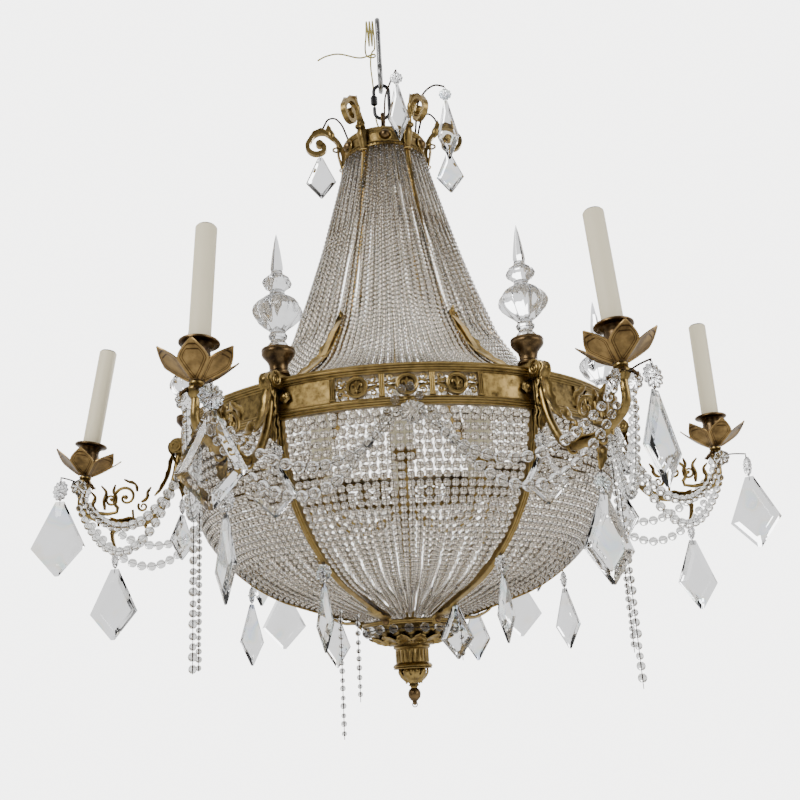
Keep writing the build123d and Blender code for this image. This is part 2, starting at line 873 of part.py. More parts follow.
with BuildPart() as link_nut:
    with BuildSketch(Plane.XY.offset(-link_gap_top + nut_cover)):
        with Locations((-link_half, 0)):
            RegularPolygon(nut_radius, 6)
            Circle(link_wire + pin_play, mode=Mode.SUBTRACT)
    extrude(amount=-nut_length)
finish(link_nut, "link_nut")

# Turned spindle on the crown, with the eye that the link carries
spindle_height = eye_low - crown_top
with BuildPart() as top_spindle:
    with BuildSketch(Plane.XZ):
        with BuildLine():
            knob = spindle_height / 4
            neck = Polyline((0, eye_low + 2), (3.5, eye_low + 2), (3.5, eye_low - 2))
            upper = ThreePointArc(
                neck @ 1, (8, eye_low - 2 - knob / 2), (3.5, eye_low - 2 - knob)
            )
            lower = ThreePointArc(
                upper @ 1, (10, eye_low - 2 - knob * 1.7), (5, eye_low - 2 - knob * 2.4)
            )
            Polyline(
                lower @ 1,
                (8, crown_top + 6),
                (20, crown_top + 3),
                (20, crown_top),
                (0, crown_top),
                (0, eye_low + 2),
            )
        make_face()
    revolve(axis=Axis.Z)
    with Locations((0, 0, eye_centre)):
        Torus(eye_inside + eye_wire, eye_wire, rotation=(0, 90, 0))
    # Bore where the supply wire goes in
    with BuildSketch(Plane(origin=lead_points[-1], z_dir=Vector(*lead_points[-2]) - lead_points[-1])):
        Circle(wire_radius + hang_gap)
    extrude(amount=15, mode=Mode.SUBTRACT)
finish(top_spindle, "top_spindle")

# ---------------------------------------------------------------- supply wire
# From the bared tail round the hitch, round the bar and down behind the link
wrap_half = bar_radius + wire_radius + 0.1
wrap_corners = ((-1, -1), (-1, 1), (1, 1), (1, -1))
wrap_points = []
for corner in range(4 * wraps):
    side, rise = wrap_corners[corner % 4]
    along = wrap_start + corner * wrap_pitch / 4
    wrap_points.append((along, side * wrap_half, rise * wrap_half - bar_radius))
wire_points = tail_points + wrap_points + fall_points
wire_radii = arc_radii(wire_points)
lead_radii = arc_radii(lead_points)


def cord_length(points, radii):
    """Length of a route of runs joined by arcs."""
    with BuildLine() as line:
        FilletPolyline(*points, radius=radii)
    return sum(edge.length for edge in line.edges())


print("supply wire arcs, mm:", [round(radius, 1) for radius in wire_radii])
print("lead arcs, mm:", [round(radius, 1) for radius in lead_radii])
wire_run = cord_length(wire_points, wire_radii)
lead_run = cord_length(lead_points, lead_radii)
print("supply wire lengths, mm:", round(wire_run, 1), round(lead_run, 1))
print("gap between wraps, mm:", round(abs(wrap_pitch) - 2 * wire_radius, 2))
with BuildPart() as supply_wire:
    add(rod_along(wire_points, wire_radii, wire_radius, 8))
finish(supply_wire, "supply_wire")
with BuildPart() as supply_wire_lead:
    add(rod_along(lead_points, lead_radii, wire_radius, 8))
finish(supply_wire_lead, "supply_wire_lead")

# ---------------------------------------------------------------- rods and ribs
rod_points = [(reach, 0, gallery_top + rise) for reach, rise in rod_line]
with BuildPart() as tent_rod:
    add(rod_along(rod_points, arc_radii(rod_points), rod_width / 2, 8))
    # Leaf on the rod's lower end
    with BuildSketch(Plane.XZ):
        with BuildLine():
            Polyline([(reach, gallery_top + rise) for reach, rise in rod_leaf], close=True)
        make_face()
    extrude(amount=rod_leaf_width / 2, both=True)
    split(bisect_by=Plane.XY.offset(gallery_top), keep=Keep.TOP)
    split(bisect_by=Plane.XY.offset(crown_bottom), keep=Keep.BOTTOM)
with BuildPart() as tent_rods:
    with Locations(*turned(post_angles)):
        add(tent_rod.part)
    add(gallery_posts.part, mode=Mode.SUBTRACT)
finish(tent_rods, "tent_rods")

with BuildPart() as bottom_bowl:
    with BuildSketch(Plane.XZ):
        with BuildLine():
            bead_inside = bowl_bead_ring - bowl_bead / 2 - hang_gap
            rim_low = bowl_top - bowl_plate
            wall_low = rim_low - bowl_bead
            rim = Polyline(
                (0, bowl_top),
                (bowl_radius, bowl_top),
                (bowl_radius, rim_low),
                (bead_inside, rim_low),
                (bead_inside, wall_low),
            )
            dish = ThreePointArc(
                rim @ 1,
                (band_radius + 16, band_level + 2),
                (band_radius + 1, band_level + 2),
            )
            band = Polyline(dish @ 1, (band_radius + 1, band_level), (band_radius - 2, band_level - 3))
            waist = ThreePointArc(
                band @ 1,
                (waist_radius, (band_level + flare_level) / 2),
                (flare_radius - 3, flare_level + 4),
            )
            Polyline(
                waist @ 1,
                (flare_radius, flare_level + 2),
                (flare_radius, flare_level),
                (0, flare_level),
                (0, bowl_top),
            )
        make_face()
    revolve(axis=Axis.Z)
finish(bottom_bowl, "bottom_bowl")

with BuildPart() as bowl_beads:
    with BuildSketch(Plane.XZ):
        with Locations((bowl_bead_ring, bowl_top - bowl_plate - bowl_bead / 2)):
            RegularPolygon(bowl_bead / 2, 8, major_radius=False, rotation=22.5)
    revolve(axis=Axis.Z)
finish(bowl_beads, "bowl_beads")

with BuildPart() as bowl_pendant:
    with BuildSketch(Plane.XZ):
        with BuildLine():
            cup = ThreePointArc(
                (leaf_cup_radius + 3, flare_level),
                (leaf_cup_radius, flare_level - 9),
                (neck_radius, flare_level - 18),
            )
            ball_top = flare_level - 24
            throat = Polyline(cup @ 1, (neck_radius - 1, ball_top), (ball_radius - 3, ball_top))
            ball = ThreePointArc(
                throat @ 1,
                (ball_radius, ball_top - ball_radius),
                (ball_radius - 4, ball_top - 2 * ball_radius),
            )
            Polyline(
                ball @ 1,
                (ball_radius - 4, pendant_level),
                (0, pendant_level),
                (0, flare_level),
                (leaf_cup_radius + 3, flare_level),
            )
        make_face()
    revolve(axis=Axis.Z)
finish(bowl_pendant, "bowl_pendant")

# The basket's outline in the plane of a rib, from the gallery to the bowl
rib_head = (edge_bead_radius, gallery_bottom)
rib_shoulder = (edge_bead_radius - 30, gallery_top - 143)
rib_knee = (165, gallery_top - 225)
rib_foot = (57, bowl_top + basket_bead_low / 2 + hang_gap)
with BuildLine(Plane.XZ) as basket_outline:
    ThreePointArc(rib_head, (edge_bead_radius - 10, gallery_top - 98), rib_shoulder)
    ThreePointArc(rib_shoulder, (227, gallery_top - 185), rib_knee)
    ThreePointArc(rib_knee, (112, gallery_top - 243), rib_foot)
basket_line = basket_outline.wires()[0]


def across_outline(share):
    """Plane square to the basket's outline, with its own X along the hoop."""
    return Plane(origin=basket_line @ share, x_dir=(0, 1, 0), z_dir=basket_line % share)


with BuildPart() as lower_rib:
    for step in range(outline_steps + 1):
        share = step / outline_steps
        with BuildSketch(across_outline(share)):
            Rectangle(rib_width + (rib_foot_width - rib_width) * share, rib_thickness)
    loft(ruled=True)
    split(bisect_by=Plane.XY.offset(gallery_bottom), keep=Keep.BOTTOM)
    add(bottom_bowl.part, mode=Mode.SUBTRACT)
with BuildPart() as lower_ribs:
    with Locations(*turned(post_angles)):
        add(lower_rib.part)
finish(lower_ribs, "lower_ribs")

# ---------------------------------------------------------------- bead strands
with BuildPart() as tent_strand:
    for reach, rise, depth, width in tent_line:
        with BuildSketch(Plane.XY.offset(gallery_top + rise)):
            with Locations((reach, 0)):
                Rectangle(depth, width)
    loft(ruled=True)
tent_angles = [
    post + (count + 1) * 360 / bays / (tent_strands_per_bay + 1)
    for post in post_angles
    for count in range(tent_strands_per_bay)
]
with BuildPart() as tent_strands:
    with Locations(*turned(tent_angles)):
        add(tent_strand.part, clean=False)
finish(tent_strands, "tent_strands")

with BuildPart() as gallery_beads:
    with BuildSketch(Plane.XZ):
        with Locations((edge_bead_radius, gallery_bottom - edge_bead / 2)):
            RegularPolygon(edge_bead / 2, 6, major_radius=False)
    revolve(axis=Axis.Z)
    # The row is broken where each rib meets the gallery
    with Locations(*spread(post_angles, edge_bead_radius, gallery_bottom - edge_bead / 2)):
        Box(3 * edge_bead, rib_width + 2 * hang_gap, 2 * edge_bead, mode=Mode.SUBTRACT)
finish(gallery_beads, "gallery_beads")

with BuildPart() as basket_strand:
    first_share = (edge_bead + 3 * hang_gap) / basket_line.length
    for step in range(outline_steps + 1):
        share = first_share + (1 - first_share) * step / outline_steps
        bead = basket_bead + (basket_bead_low - basket_bead) * share
        with BuildSketch(across_outline(share)):
            Rectangle(bead, bead)
    loft(ruled=True)
basket_angles = [
    post + (count + 1) * 360 / bays / (basket_strands_per_bay + 1)
    for post in post_angles
    for count in range(basket_strands_per_bay)
]
with BuildPart() as basket_strands:
    with Locations(*turned(basket_angles)):
        add(basket_strand.part, clean=False)
finish(basket_strands, "basket_strands")

# ---------------------------------------------------------------- swags
swag_shares = (0, 0.12, 0.3, 0.5, 0.7, 0.88, 1)
swag_head_level = gallery_bottom - hang_gap - 0.36 * swag_bead


def swag_route(side, start_level, end_offset, sag):
    """One strand, from beside the arm to under the middle of the gallery's bay."""
    middle = radians(180 / bays)
    start = Vector(arm_reach - 1, side * (arm_radius + swag_bead / 2 + hang_gap), start_level)
    end = Vector(
        swag_head_radius * cos(middle) + end_offset * sin(middle),
        side * (swag_head_radius * sin(middle) - end_offset * cos(middle)),
        swag_head_level,
    )
    points = []
    for share in swag_shares:
        chord = start + (end - start) * share
        points.append((chord.X, chord.Y, chord.Z - 4 * sag * share * (1 - share)))
    return points


with BuildPart() as swag_pair:
    for side in (-1, 1):
        for start_level, end_offset, sag in swag_strands:
            points = swag_route(side, gallery_top - start_level, end_offset, sag)
            add(rod_along(points, arc_radii(points), swag_bead / 2, 6))
with BuildPart() as swags:
    with Locations(*turned(post_angles)):
        add(swag_pair.part)
    for bay, aside, radius, depth in swag_strings:
        with BuildSketch(Plane.XY.offset(swag_head_level)):
            with Locations(turned([bay_angles[bay]])[0] * Location((swag_head_radius, aside, 0))):
                RegularPolygon(radius, 6)
        extrude(amount=gallery_top - depth - swag_head_level)
    for bay, strand, share, depth in low_strings:
        head = basket_line @ share
        about = turned([post_angles[bay] + strand * 360 / bays / (basket_strands_per_bay + 1)])[0]
        with BuildSketch(Plane.XY.offset(head.Z)):
            with Locations(about * Location((head.X, 0, 0))):
                RegularPolygon(low_string_radius, 6)
        extrude(amount=gallery_top - depth - head.Z)
        with Locations(about):
            add(basket_strand.part, mode=Mode.SUBTRACT)
finish(swags, "swags")

# ---------------------------------------------------------------- crown wires
with BuildPart() as crown_wires:
    for points in crown_wire_points:
        add(rod_along(points, arc_radii(points), crown_wire, 6))
    add(crown_scrolls.part, mode=Mode.SUBTRACT)
    add(crown_ring.part, mode=Mode.SUBTRACT)
    add(top_spindle.part, mode=Mode.SUBTRACT)
finish(crown_wires, "crown_wires")


# ---------------------------------------------------------------- crystal drops
def facets(width, thickness):
    """Corners of a kite's six-sided section, flat towards its two faces."""
    half = thickness / 2
    side = width / 5
    return (half, -side), (half, side), (0, width / 2), (-half, side), (-half, -side), (0, -width / 2)


def drop(kite_width, kite_length, rosette, yaw):
    """A rosette and a kite on one wire, hung from the origin, facing +X."""
    kite_top = -(2 * rosette + drop_eye)
    with BuildPart() as hung:
        Cylinder(drop_eye, 4, rotation=(90, 0, 0))
        with BuildSketch():
            RegularPolygon(drop_pin, 6)
        extrude(amount=kite_top - 1)
        if rosette:
            with BuildSketch(Plane.YZ.offset(-rosette_thickness / 2)):
                with Locations((0, -rosette - drop_eye / 2)):
                    RegularPolygon(rosette * 0.4, 8)
            with BuildSketch(Plane.YZ):
                with Locations((0, -rosette - drop_eye / 2)):
                    RegularPolygon(rosette, 8)
            with BuildSketch(Plane.YZ.offset(rosette_thickness / 2)):
                with Locations((0, -rosette - drop_eye / 2)):
                    RegularPolygon(rosette * 0.4, 8)
            loft(ruled=True)
    with BuildPart() as kite:
        for share, width, thickness in kite_outline:
            with BuildSketch(Plane.XY.offset(kite_top - share * kite_length)):
                with BuildLine():
                    corners = facets(width * kite_width, thickness * kite_thickness)
                    Polyline(*corners, close=True)
                make_face()
        loft(ruled=True)
    with BuildPart() as whole:
        add(hung.part)
        with Locations(Location((0, 0, 0), (0, 0, yaw))):
            add(kite.part)
    return whole.part


def hang(name, place, kite_width, kite_length, rosette, yaw):
    """Makes one drop, hangs it at its place and writes it."""
    with BuildPart() as piece:
        with Locations(place):
            add(drop(kite_width, kite_length, rosette, yaw))
    finish(piece, name)


under = hang_gap + drop_eye


def rib_place(share):
    """Where a drop hangs, just outside a rib's face, in the rib's own plane."""
    along = basket_line % share
    outward = Vector(-along.Z, 0, along.X)
    return basket_line @ share + outward * (rib_thickness / 2 + under)


for post in posts:
    about = turned([post_angles[post]])[0]
    name = post_names[post]
    # The tip drop hangs upright from the end of its hanger
    hanger_turn = Location((0, 0, 0), (0, 0, hanger_turns[post]))
    hanger_end = candle_place(post, hanger_rise) * hanger_turn * Location((hanger_reach, 0, 0))
    below = hanger_end.position - (0, 0, hanger_radius + under)
    facing = post_angles[post] + hanger_turns[post]
    hang(f"tip_drop_{name}", Location(below, (0, 0, facing)), *tip_kite, tip_yaws[post])
    leaf_end = Location((leaf_place, 0, gallery_top - leaf_drop - under))
    hang(f"hook_drop_{name}", about * leaf_end, *hook_kite, hook_yaws[post])
    on_rib = Location(rib_place(rib_drop_share) - (rib_drop_seat, 0, 0))
    hang(f"rib_drop_{name}", about * on_rib, *rib_kite, rib_yaws[post])
    post_end = Location((column_centre, 0, gallery_bottom - post_tip_drop - under))
    hang(f"post_drop_{name}", about * post_end, *post_kite, post_yaws[post])

# The crown's drops, under two of its wires and two of its scrolls
scroll_low = crown_bottom + 24 - crown_scroll_band / 2 - under
for name, wire, kite in (
    ("crown_drop_front", crown_wire_points[0], (34, 96, 10)),
    ("crown_drop_right", crown_wire_points[1], (34.5, 103, 10)),
):
    x, y, z = wire[-1]
    hang(name, Location((x, y, z - crown_wire - under), (0, 0, -90)), *kite, 0)
for name, post, kite in (
    ("crown_drop_under_right", 2, (44, 68, 0)),
    ("crown_drop_under_left", 5, (48, 70, 0)),
):
    curl = turned([post_angles[post]])[0] * Location((crown_radius + 38, 0, scroll_low))
    hang(name, Location(curl.position, (0, 0, -90)), *kite, 0)
low_place = turned([post_angles[1]])[0] * Location(rib_place(low_drop_share))
hang("low_rib_drop", Location(low_place.position, (0, 0, -90)), *low_kite, 0)
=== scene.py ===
import json
from math import atan2, cos, exp, hypot, pi, radians, sin, tan

import bmesh
import bpy
from bpy.props import FloatProperty, FloatVectorProperty, IntProperty, PointerProperty
from mathutils import Matrix, Vector


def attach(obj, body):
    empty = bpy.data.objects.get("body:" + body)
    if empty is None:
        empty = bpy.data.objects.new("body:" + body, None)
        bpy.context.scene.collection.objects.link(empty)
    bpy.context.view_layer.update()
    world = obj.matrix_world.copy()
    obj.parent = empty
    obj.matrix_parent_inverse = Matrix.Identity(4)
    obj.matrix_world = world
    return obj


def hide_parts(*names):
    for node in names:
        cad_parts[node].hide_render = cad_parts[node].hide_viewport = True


bl_info = {
    "name": "Crystal chandelier",
    "version": (1, 0, 0),
    "blender": (4, 5, 0),
    "location": "View3D > Sidebar > Chandelier",
    "description": "Dresses a six-light crystal chandelier on its packed frame",
    "category": "Object",
}

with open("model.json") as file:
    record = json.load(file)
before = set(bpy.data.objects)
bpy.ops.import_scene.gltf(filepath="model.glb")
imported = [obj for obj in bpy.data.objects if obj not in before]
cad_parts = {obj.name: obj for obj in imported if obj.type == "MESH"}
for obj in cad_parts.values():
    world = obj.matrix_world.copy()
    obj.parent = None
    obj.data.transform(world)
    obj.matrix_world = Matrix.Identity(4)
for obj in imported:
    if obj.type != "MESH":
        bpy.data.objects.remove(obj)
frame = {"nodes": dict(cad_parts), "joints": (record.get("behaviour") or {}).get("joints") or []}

# Places below are millimetres in the frame's own place: the bar bears on the origin
MM = 0.001
BAYS = 6
POST_ANGLES = [-117.9 + 60 * n for n in range(BAYS)]
BAY_ANGLES = [angle + 30 for angle in POST_ANGLES]
POST_NAMES = ("front_left", "front_right", "right", "back_right", "back_left", "left")
LEANS = (4.5, 4.0, 0.0, 2.0, 2.0, 8.0)
HANGER_TURNS = (60, 0, 0, 0, 0, 60)
GALLERY_TOP = -690.0
GALLERY_BOTTOM = -738.0
CROWN_BOTTOM = -258.0
CROWN_TOP = -228.0
BOWL_TOP = -952.0
ARM_REACH = 447.0
ARM_END = -747.0
ARM_DROP = 111                  # from the gallery's top down to the arm's lowest run
ARM_RISE = GALLERY_TOP - 0.78 * ARM_DROP
FRIEZE_RADIUS = 302.0           # where the gallery's ornament is laid
ROUNDEL_PITCH = 10.9            # degrees from one roundel to the next
EDGE_BEAD_RADIUS = 294          # the row of beads under the gallery
FINIAL_RADIUS = 296
VASE_FOOT = GALLERY_TOP + 7.5
VASE_HEIGHT = 32.5
INNER_LAMP_RADIUS = 128
INNER_LAMP_LEVEL = GALLERY_TOP - 56
SWAG_HEAD_RADIUS = 307
BOWL_BEAD_RADIUS = 59.6         # the ring of beads round the dish
BOWL_BEAD_LEVEL = BOWL_TOP - 11.4
TENT_LINE = (
    (61, 432), (72, 386), (84, 340), (100, 280), (118, 220), (134, 172),
    (150, 127), (172, 88), (195, 55), (232, 24), (272, 2),
)


# ------------------------------------------------------------------ sizes and colours
def length(name, default, description):
    return FloatProperty(name=name, description=description, default=default, unit="LENGTH", precision=4)


def colour(name, default, description):
    return FloatVectorProperty(name=name, description=description, default=default, subtype="COLOR", size=3)


def number(name, default, description):
    return IntProperty(name=name, description=description, default=default)


class ChandelierSizes(bpy.types.PropertyGroup):
    """Sizes and counts of what is strung."""

    tent_rows: number("Tent rows", 24, "Rows of beads between two rods of the tent")
    tent_bead: length("Tent bead", 0.0086, "Bead at the foot of the tent")
    crown_bead: length("Crown bead", 0.0060, "Bead at the head of the tent")
    basket_rows: number("Basket rows", 27, "Rows of beads between two ribs")
    basket_bead: length("Basket bead", 0.0106, "Bead under the gallery")
    bowl_bead: length("Bowl bead", 0.0048, "Bead where the basket meets the bowl")
    swag_bead: length("Swag bead", 0.0136, "Largest bead of a swag")
    kite_thickness: length("Kite thickness", 0.009, "Thickness of a crystal kite")


class ChandelierColours(bpy.types.PropertyGroup):
    """Colours of the metals, the glass and the card."""

    gold: colour("Gold", (0.34, 0.235, 0.085), "Gilt brass where it is rubbed")
    # Gold shade is also the colour of the painted shade that darkens the gold's hollows.
    gold_dark: colour("Gold shade", (0.055, 0.036, 0.012), "Gilt brass in its hollows")
    rod: colour("Rods", (0.66, 0.46, 0.17), "The bright rods and ribs")
    bronze: colour("Bronze", (0.21, 0.135, 0.06), "Cups and vases")
    petal: colour("Petals", (0.40, 0.26, 0.10), "The petal dishes")
    bead: colour("Beads", (0.80, 0.765, 0.71), "Glass of the tent and the swags")
    smoky: colour("Smoky beads", (0.78, 0.74, 0.68), "Glass of the basket")
    crystal: colour("Crystal", (0.97, 0.98, 1.0), "Glass of the kites and finials")
    card: colour("Card", (0.93, 0.84, 0.60), "Candle sleeves")
    flex: colour("Flex", (0.46, 0.38, 0.10), "The twin flex")


# ------------------------------------------------------------------ modelling
def deselect():
    if bpy.context.mode != "OBJECT":
        bpy.ops.object.mode_set(mode="OBJECT")
    bpy.ops.object.select_all(action="DESELECT")


def lifted():
    """The model in hand as corners and faces; its object goes."""
    if bpy.context.mode != "OBJECT":
        bpy.ops.object.mode_set(mode="OBJECT")
    mesh = bpy.context.object.data
    verts = [vert.co.copy() for vert in mesh.vertices]
    faces = [tuple(face.vertices) for face in mesh.polygons]
    bpy.ops.object.delete()
    return verts, faces


def pick(wanted):
    """Selects, in edit mode, the corners whose place is wanted."""
    bpy.ops.mesh.select_all(action="DESELECT")
    data = bpy.context.object.data
    model = bmesh.from_edit_mesh(data)
    for vert in model.verts:
        vert.select_set(wanted(vert.co))
    model.select_flush_mode()
    bmesh.update_edit_mesh(data)


def drawn_up(corners, levels, middle=(0, 0)):
    """A filled outline, extruded level by level and resized about its middle."""
    deselect()
    bpy.ops.mesh.primitive_circle_add(
        vertices=len(corners), radius=1, fill_type="NGON", enter_editmode=True, location=(0, 0, 0)
    )
    data = bpy.context.object.data
    model = bmesh.from_edit_mesh(data)
    scale, height = levels[0]
    for vert, (x, y) in zip(model.verts, corners):
        vert.co = (middle[0] + (x - middle[0]) * scale, middle[1] + (y - middle[1]) * scale, height)
    bmesh.update_edit_mesh(data)
    for next_scale, next_height in levels[1:]:
        bpy.ops.mesh.extrude_region_move(TRANSFORM_OT_translate={"value": (0, 0, next_height - height)})
        share = next_scale / scale
        bpy.ops.transform.resize(value=(share, share, 1), center_override=(*middle, next_height))
        scale, height = next_scale, next_height
    bpy.ops.mesh.select_all(action="SELECT")
    bpy.ops.mesh.normals_make_consistent(inside=False)
    return lifted()


def lathe(profile, steps=48):
    """A turned form from (radius, height) points."""
    return drawn_up([(cos(2 * pi * n / steps), sin(2 * pi * n / steps)) for n in range(steps)], profile)


def fluted(shape, lobes, depth_at):
    """Hollows flutes down a turned form, as deep as depth_at(height) says."""
    for vert in shape[0]:
        share = 1 + depth_at(vert.z) * cos(lobes * atan2(vert.y, vert.x))
        vert.x *= share
        vert.y *= share
    return shape


def laid_over(shape):
    """Turns a form's upright axis towards +X, and its Y upright."""
    return [Vector((vert.z, vert.x, vert.y)) for vert in shape[0]], shape[1]


def tubes(runs, radii, sides=8, ring=False):
    """Round rods through runs of points, with one radius or one for each point."""
    deselect()
    curve = bpy.data.curves.new("rod", "CURVE")
    curve.dimensions = "3D"
    curve.bevel_depth = 1
    curve.bevel_resolution = (sides - 4) // 2
    curve.use_fill_caps = not ring
    for points in runs:
        spline = curve.splines.new("POLY")
        spline.points.add(len(points) - 1)
        for n, (mark, point) in enumerate(zip(spline.points, points)):
            mark.co = (*point, 1)
            mark.radius = radii[n] if isinstance(radii, (list, tuple)) else radii
        spline.use_cyclic_u = ring
    model = bpy.data.objects.new("rod", curve)
    bpy.context.scene.collection.objects.link(model)
    bpy.context.view_layer.objects.active = model
    model.select_set(True)
    bpy.ops.object.convert(target="MESH")
    bpy.ops.object.mode_set(mode="EDIT")
    bpy.ops.mesh.select_all(action="SELECT")
    bpy.ops.mesh.remove_doubles(threshold=0.0005)
    bpy.ops.mesh.normals_make_consistent(inside=False)
    return lifted()


def tube(points, radii, sides=8):
    return tubes([points], radii, sides)


def hoop(radius, thick, steps, lay="Z", sides=6, middle=(0, 0, 0)):
    """A closed ring round the X, Y or Z axis."""
    points = []
    for n in range(steps):
        a, b = radius * cos(2 * pi * n / steps), radius * sin(2 * pi * n / steps)
        points.append(Vector(middle) + Vector({"X": (0, a, b), "Y": (a, 0, b), "Z": (a, b, 0)}[lay]))
    return tubes([points], thick, sides, True)


def bead(sides=8, rings=5):
    """A glass bead of unit width, dimpled where its hole comes out."""
    deselect()
    bpy.ops.mesh.primitive_uv_sphere_add(
        segments=sides, ring_count=rings, radius=0.5, enter_editmode=True, location=(0, 0, 0)
    )
    for pole in (1, -1):
        pick(lambda place: place.z * pole > 0.49)
        bpy.ops.transform.translate(value=(0, 0, -0.07 * pole))
    return lifted()


def upright(line, level=0.0):
    """(reach, height) points as places in the XZ plane, their heights from a level."""
    return [(x, 0, level + z) for x, z in line]


def smooth_path(points, steps=6):
    """A curve through points, as close points."""
    points = [Vector(point) for point in points]
    ends = [points[0] * 2 - points[1]] + points + [points[-1] * 2 - points[-2]]
    path = []
    for a, b, c, d in zip(ends, ends[1:], ends[2:], ends[3:]):
        for n in range(steps):
            t = n / steps
            bend = (2 * a - 5 * b + 4 * c - d) * t * t + (3 * b - a - 3 * c + d) * t**3
            path.append(0.5 * (2 * b + (c - a) * t + bend))
    path.append(points[-1])
    return path


def rounded(points, reach=22, steps=6):
    """Straight runs with their corners rounded."""
    points = [Vector(point) for point in points]
    path = [points[0]]
    for a, b, c in zip(points, points[1:], points[2:]):
        cut = min(reach, (b - a).length * 0.45, (c - b).length * 0.45)
        start, end = b + (a - b).normalized() * cut, b + (c - b).normalized() * cut
        for n in range(steps + 1):
            t = n / steps
            path.append(start * (1 - t) ** 2 + b * 2 * t * (1 - t) + end * t * t)
    path.append(points[-1])
    return path


def spaced(path, pitch_of):
    """Points along a path whose gaps pitch_of(share) gives, with directions."""
    lengths = [0.0]
    for a, b in zip(path, path[1:]):
        lengths.append(lengths[-1] + (b - a).length)
    total = lengths[-1]
    found = []
    place = pitch_of(0) / 2
    n = 0
    while place < total - 0.3 * pitch_of(1):
        while lengths[n + 1] < place:
            n += 1
        part = (place - lengths[n]) / (lengths[n + 1] - lengths[n])
        found.append((path[n].lerp(path[n + 1], part), (path[n + 1] - path[n]).normalized(), place / total))
        place += pitch_of(place / total)
    return found


def spiral(centre, start, end, turns, first, steps=28):
    """A flat curl in the XZ plane from a wide radius to a narrow one."""
    points = []
    for n in range(steps + 1):
        share = n / steps
        angle = radians(first) + share * turns * 2 * pi
        radius = start + (end - start) * share
        points.append((centre[0] + radius * cos(angle), 0, centre[1] + radius * sin(angle)))
    return points


def leaf(path, width, lobes=4, cup=0.22, thick=1.2, across=(0, 1, 0), tip=0.9):
    """A lobed leaf, grooved down its middle, laid along a path and given a wall."""
    points = smooth_path(path, 6)
    across = Vector(across)
    last = len(points) - 1
    deselect()
    bpy.ops.mesh.primitive_grid_add(x_subdivisions=8, y_subdivisions=last, size=2, location=(0, 0, 0))
    model = bpy.context.object
    for vert in model.data.vertices:
        u = vert.co.x
        n = round((vert.co.y + 1) / 2 * last)
        share = n / last
        along = (points[min(n + 1, last)] - points[max(n - 1, 0)]).normalized()
        out = across.cross(along).normalized()
        envelope = sin(pi * min(1, share * tip + 0.12)) ** 0.7
        half = width / 2 * envelope * (1 - 0.3 * abs(cos(pi * lobes * share)))
        lift = cup * half * u * u - 0.9 * exp(-((u / 0.2) ** 2)) + 0.35 * cos(6 * pi * u)
        vert.co = points[n] + across * (u * half) + out * lift
    wall = model.modifiers.new("wall", "SOLIDIFY")
    wall.thickness = thick
    bpy.ops.object.modifier_apply(modifier="wall")
    return lifted()


def rosette(radius, petals, thickness):
    """A cut glass flower, flat towards +X and -X, its middle at the origin."""
    rings = [(0.14, 0.5), (0.42, 0.42), (0.72, 0.36), (1.0, 0.1)]
    levels = [(reach * radius, -depth * thickness) for reach, depth in rings]
    levels += [(reach * radius, depth * thickness) for reach, depth in reversed(rings)]
    shape = lathe(levels, petals * 6)
    for vert in shape[0]:
        reach = hypot(vert.x, vert.y) / radius
        notch = (1 - abs(cos(petals * atan2(vert.y, vert.x) / 2))) * reach
        vert.x *= 1 - 0.16 * notch
        vert.y *= 1 - 0.16 * notch
        vert.z *= 1 - 0.35 * notch
    return laid_over(shape)


KITE_EASE = 1.4                 # keeps each kite within its CAD solid


def kite(width, length, thickness):
    """A cut kite hung from the origin: two bevels round a flat table."""
    outline = ((-0.08, 0), (0.08, 0), (0.5, -0.62), (0.035, -1), (-0.035, -1), (-0.5, -0.62))
    half = ((0.62, 0.5), (0.66, 0.47), (0.86, 0.28), (1.0, 0.07))
    levels = [(scale, -depth * thickness) for scale, depth in half]
    levels += [(scale, depth * thickness) for scale, depth in reversed(half)]
    corners = [(y * (width - KITE_EASE), z * length) for y, z in outline]
    return laid_over(drawn_up(corners, levels, (0, -0.56 * length)))


# ------------------------------------------------------------------ piles and places
class Pile:
    """Gathers copies of forms, in millimetres, for one object."""

    def __init__(self):
        self.verts, self.faces, self.marks = [], [], []

    def add(self, shape, place=None, mark=0):
        verts, faces = shape
        base = len(self.verts)
        self.verts.extend(place @ vert for vert in verts) if place else self.verts.extend(verts)
        self.faces.extend(tuple(base + n for n in face) for face in faces)
        self.marks.extend([mark] * len(faces))


def turned(angle, axis="Z"):
    return Matrix.Rotation(radians(angle), 4, axis)


def moved(x, y, z):
    return Matrix.Translation((x, y, z))


def sized(scale):
    return Matrix.Scale(scale, 4)


def spot(angle, radius, height, yaw=0):
    """A place at a radius and a height, facing outwards."""
    return turned(angle) @ moved(radius, 0, height) @ turned(yaw)


def candle_place(post):
    """The foot of a candle's axis, at the end of its arm, leaning as the candle does."""
    reach = ARM_REACH - (ARM_END - ARM_RISE) * tan(radians(LEANS[post]))
    return turned(POST_ANGLES[post]) @ moved(reach, 0, ARM_END) @ turned(-LEANS[post], "Y")


def string_beads(pile, paths, size_of, shape, gap=1.08, wire=0.5, twist=0.0):
    """Beads strung on fine wires; the wires are the pile's second finish."""
    for path in paths:
        for point, along, share in spaced(path, lambda share: size_of(share) * gap):
            turn = along.to_track_quat("Z", "Y").to_matrix().to_4x4()
            pile.add(shape, moved(*point) @ turn @ turned(twist * share * 360) @ sized(size_of(share)))
    pile.add(tubes([path[::3] + [path[-1]] for path in paths], wire, 4), None, 1)


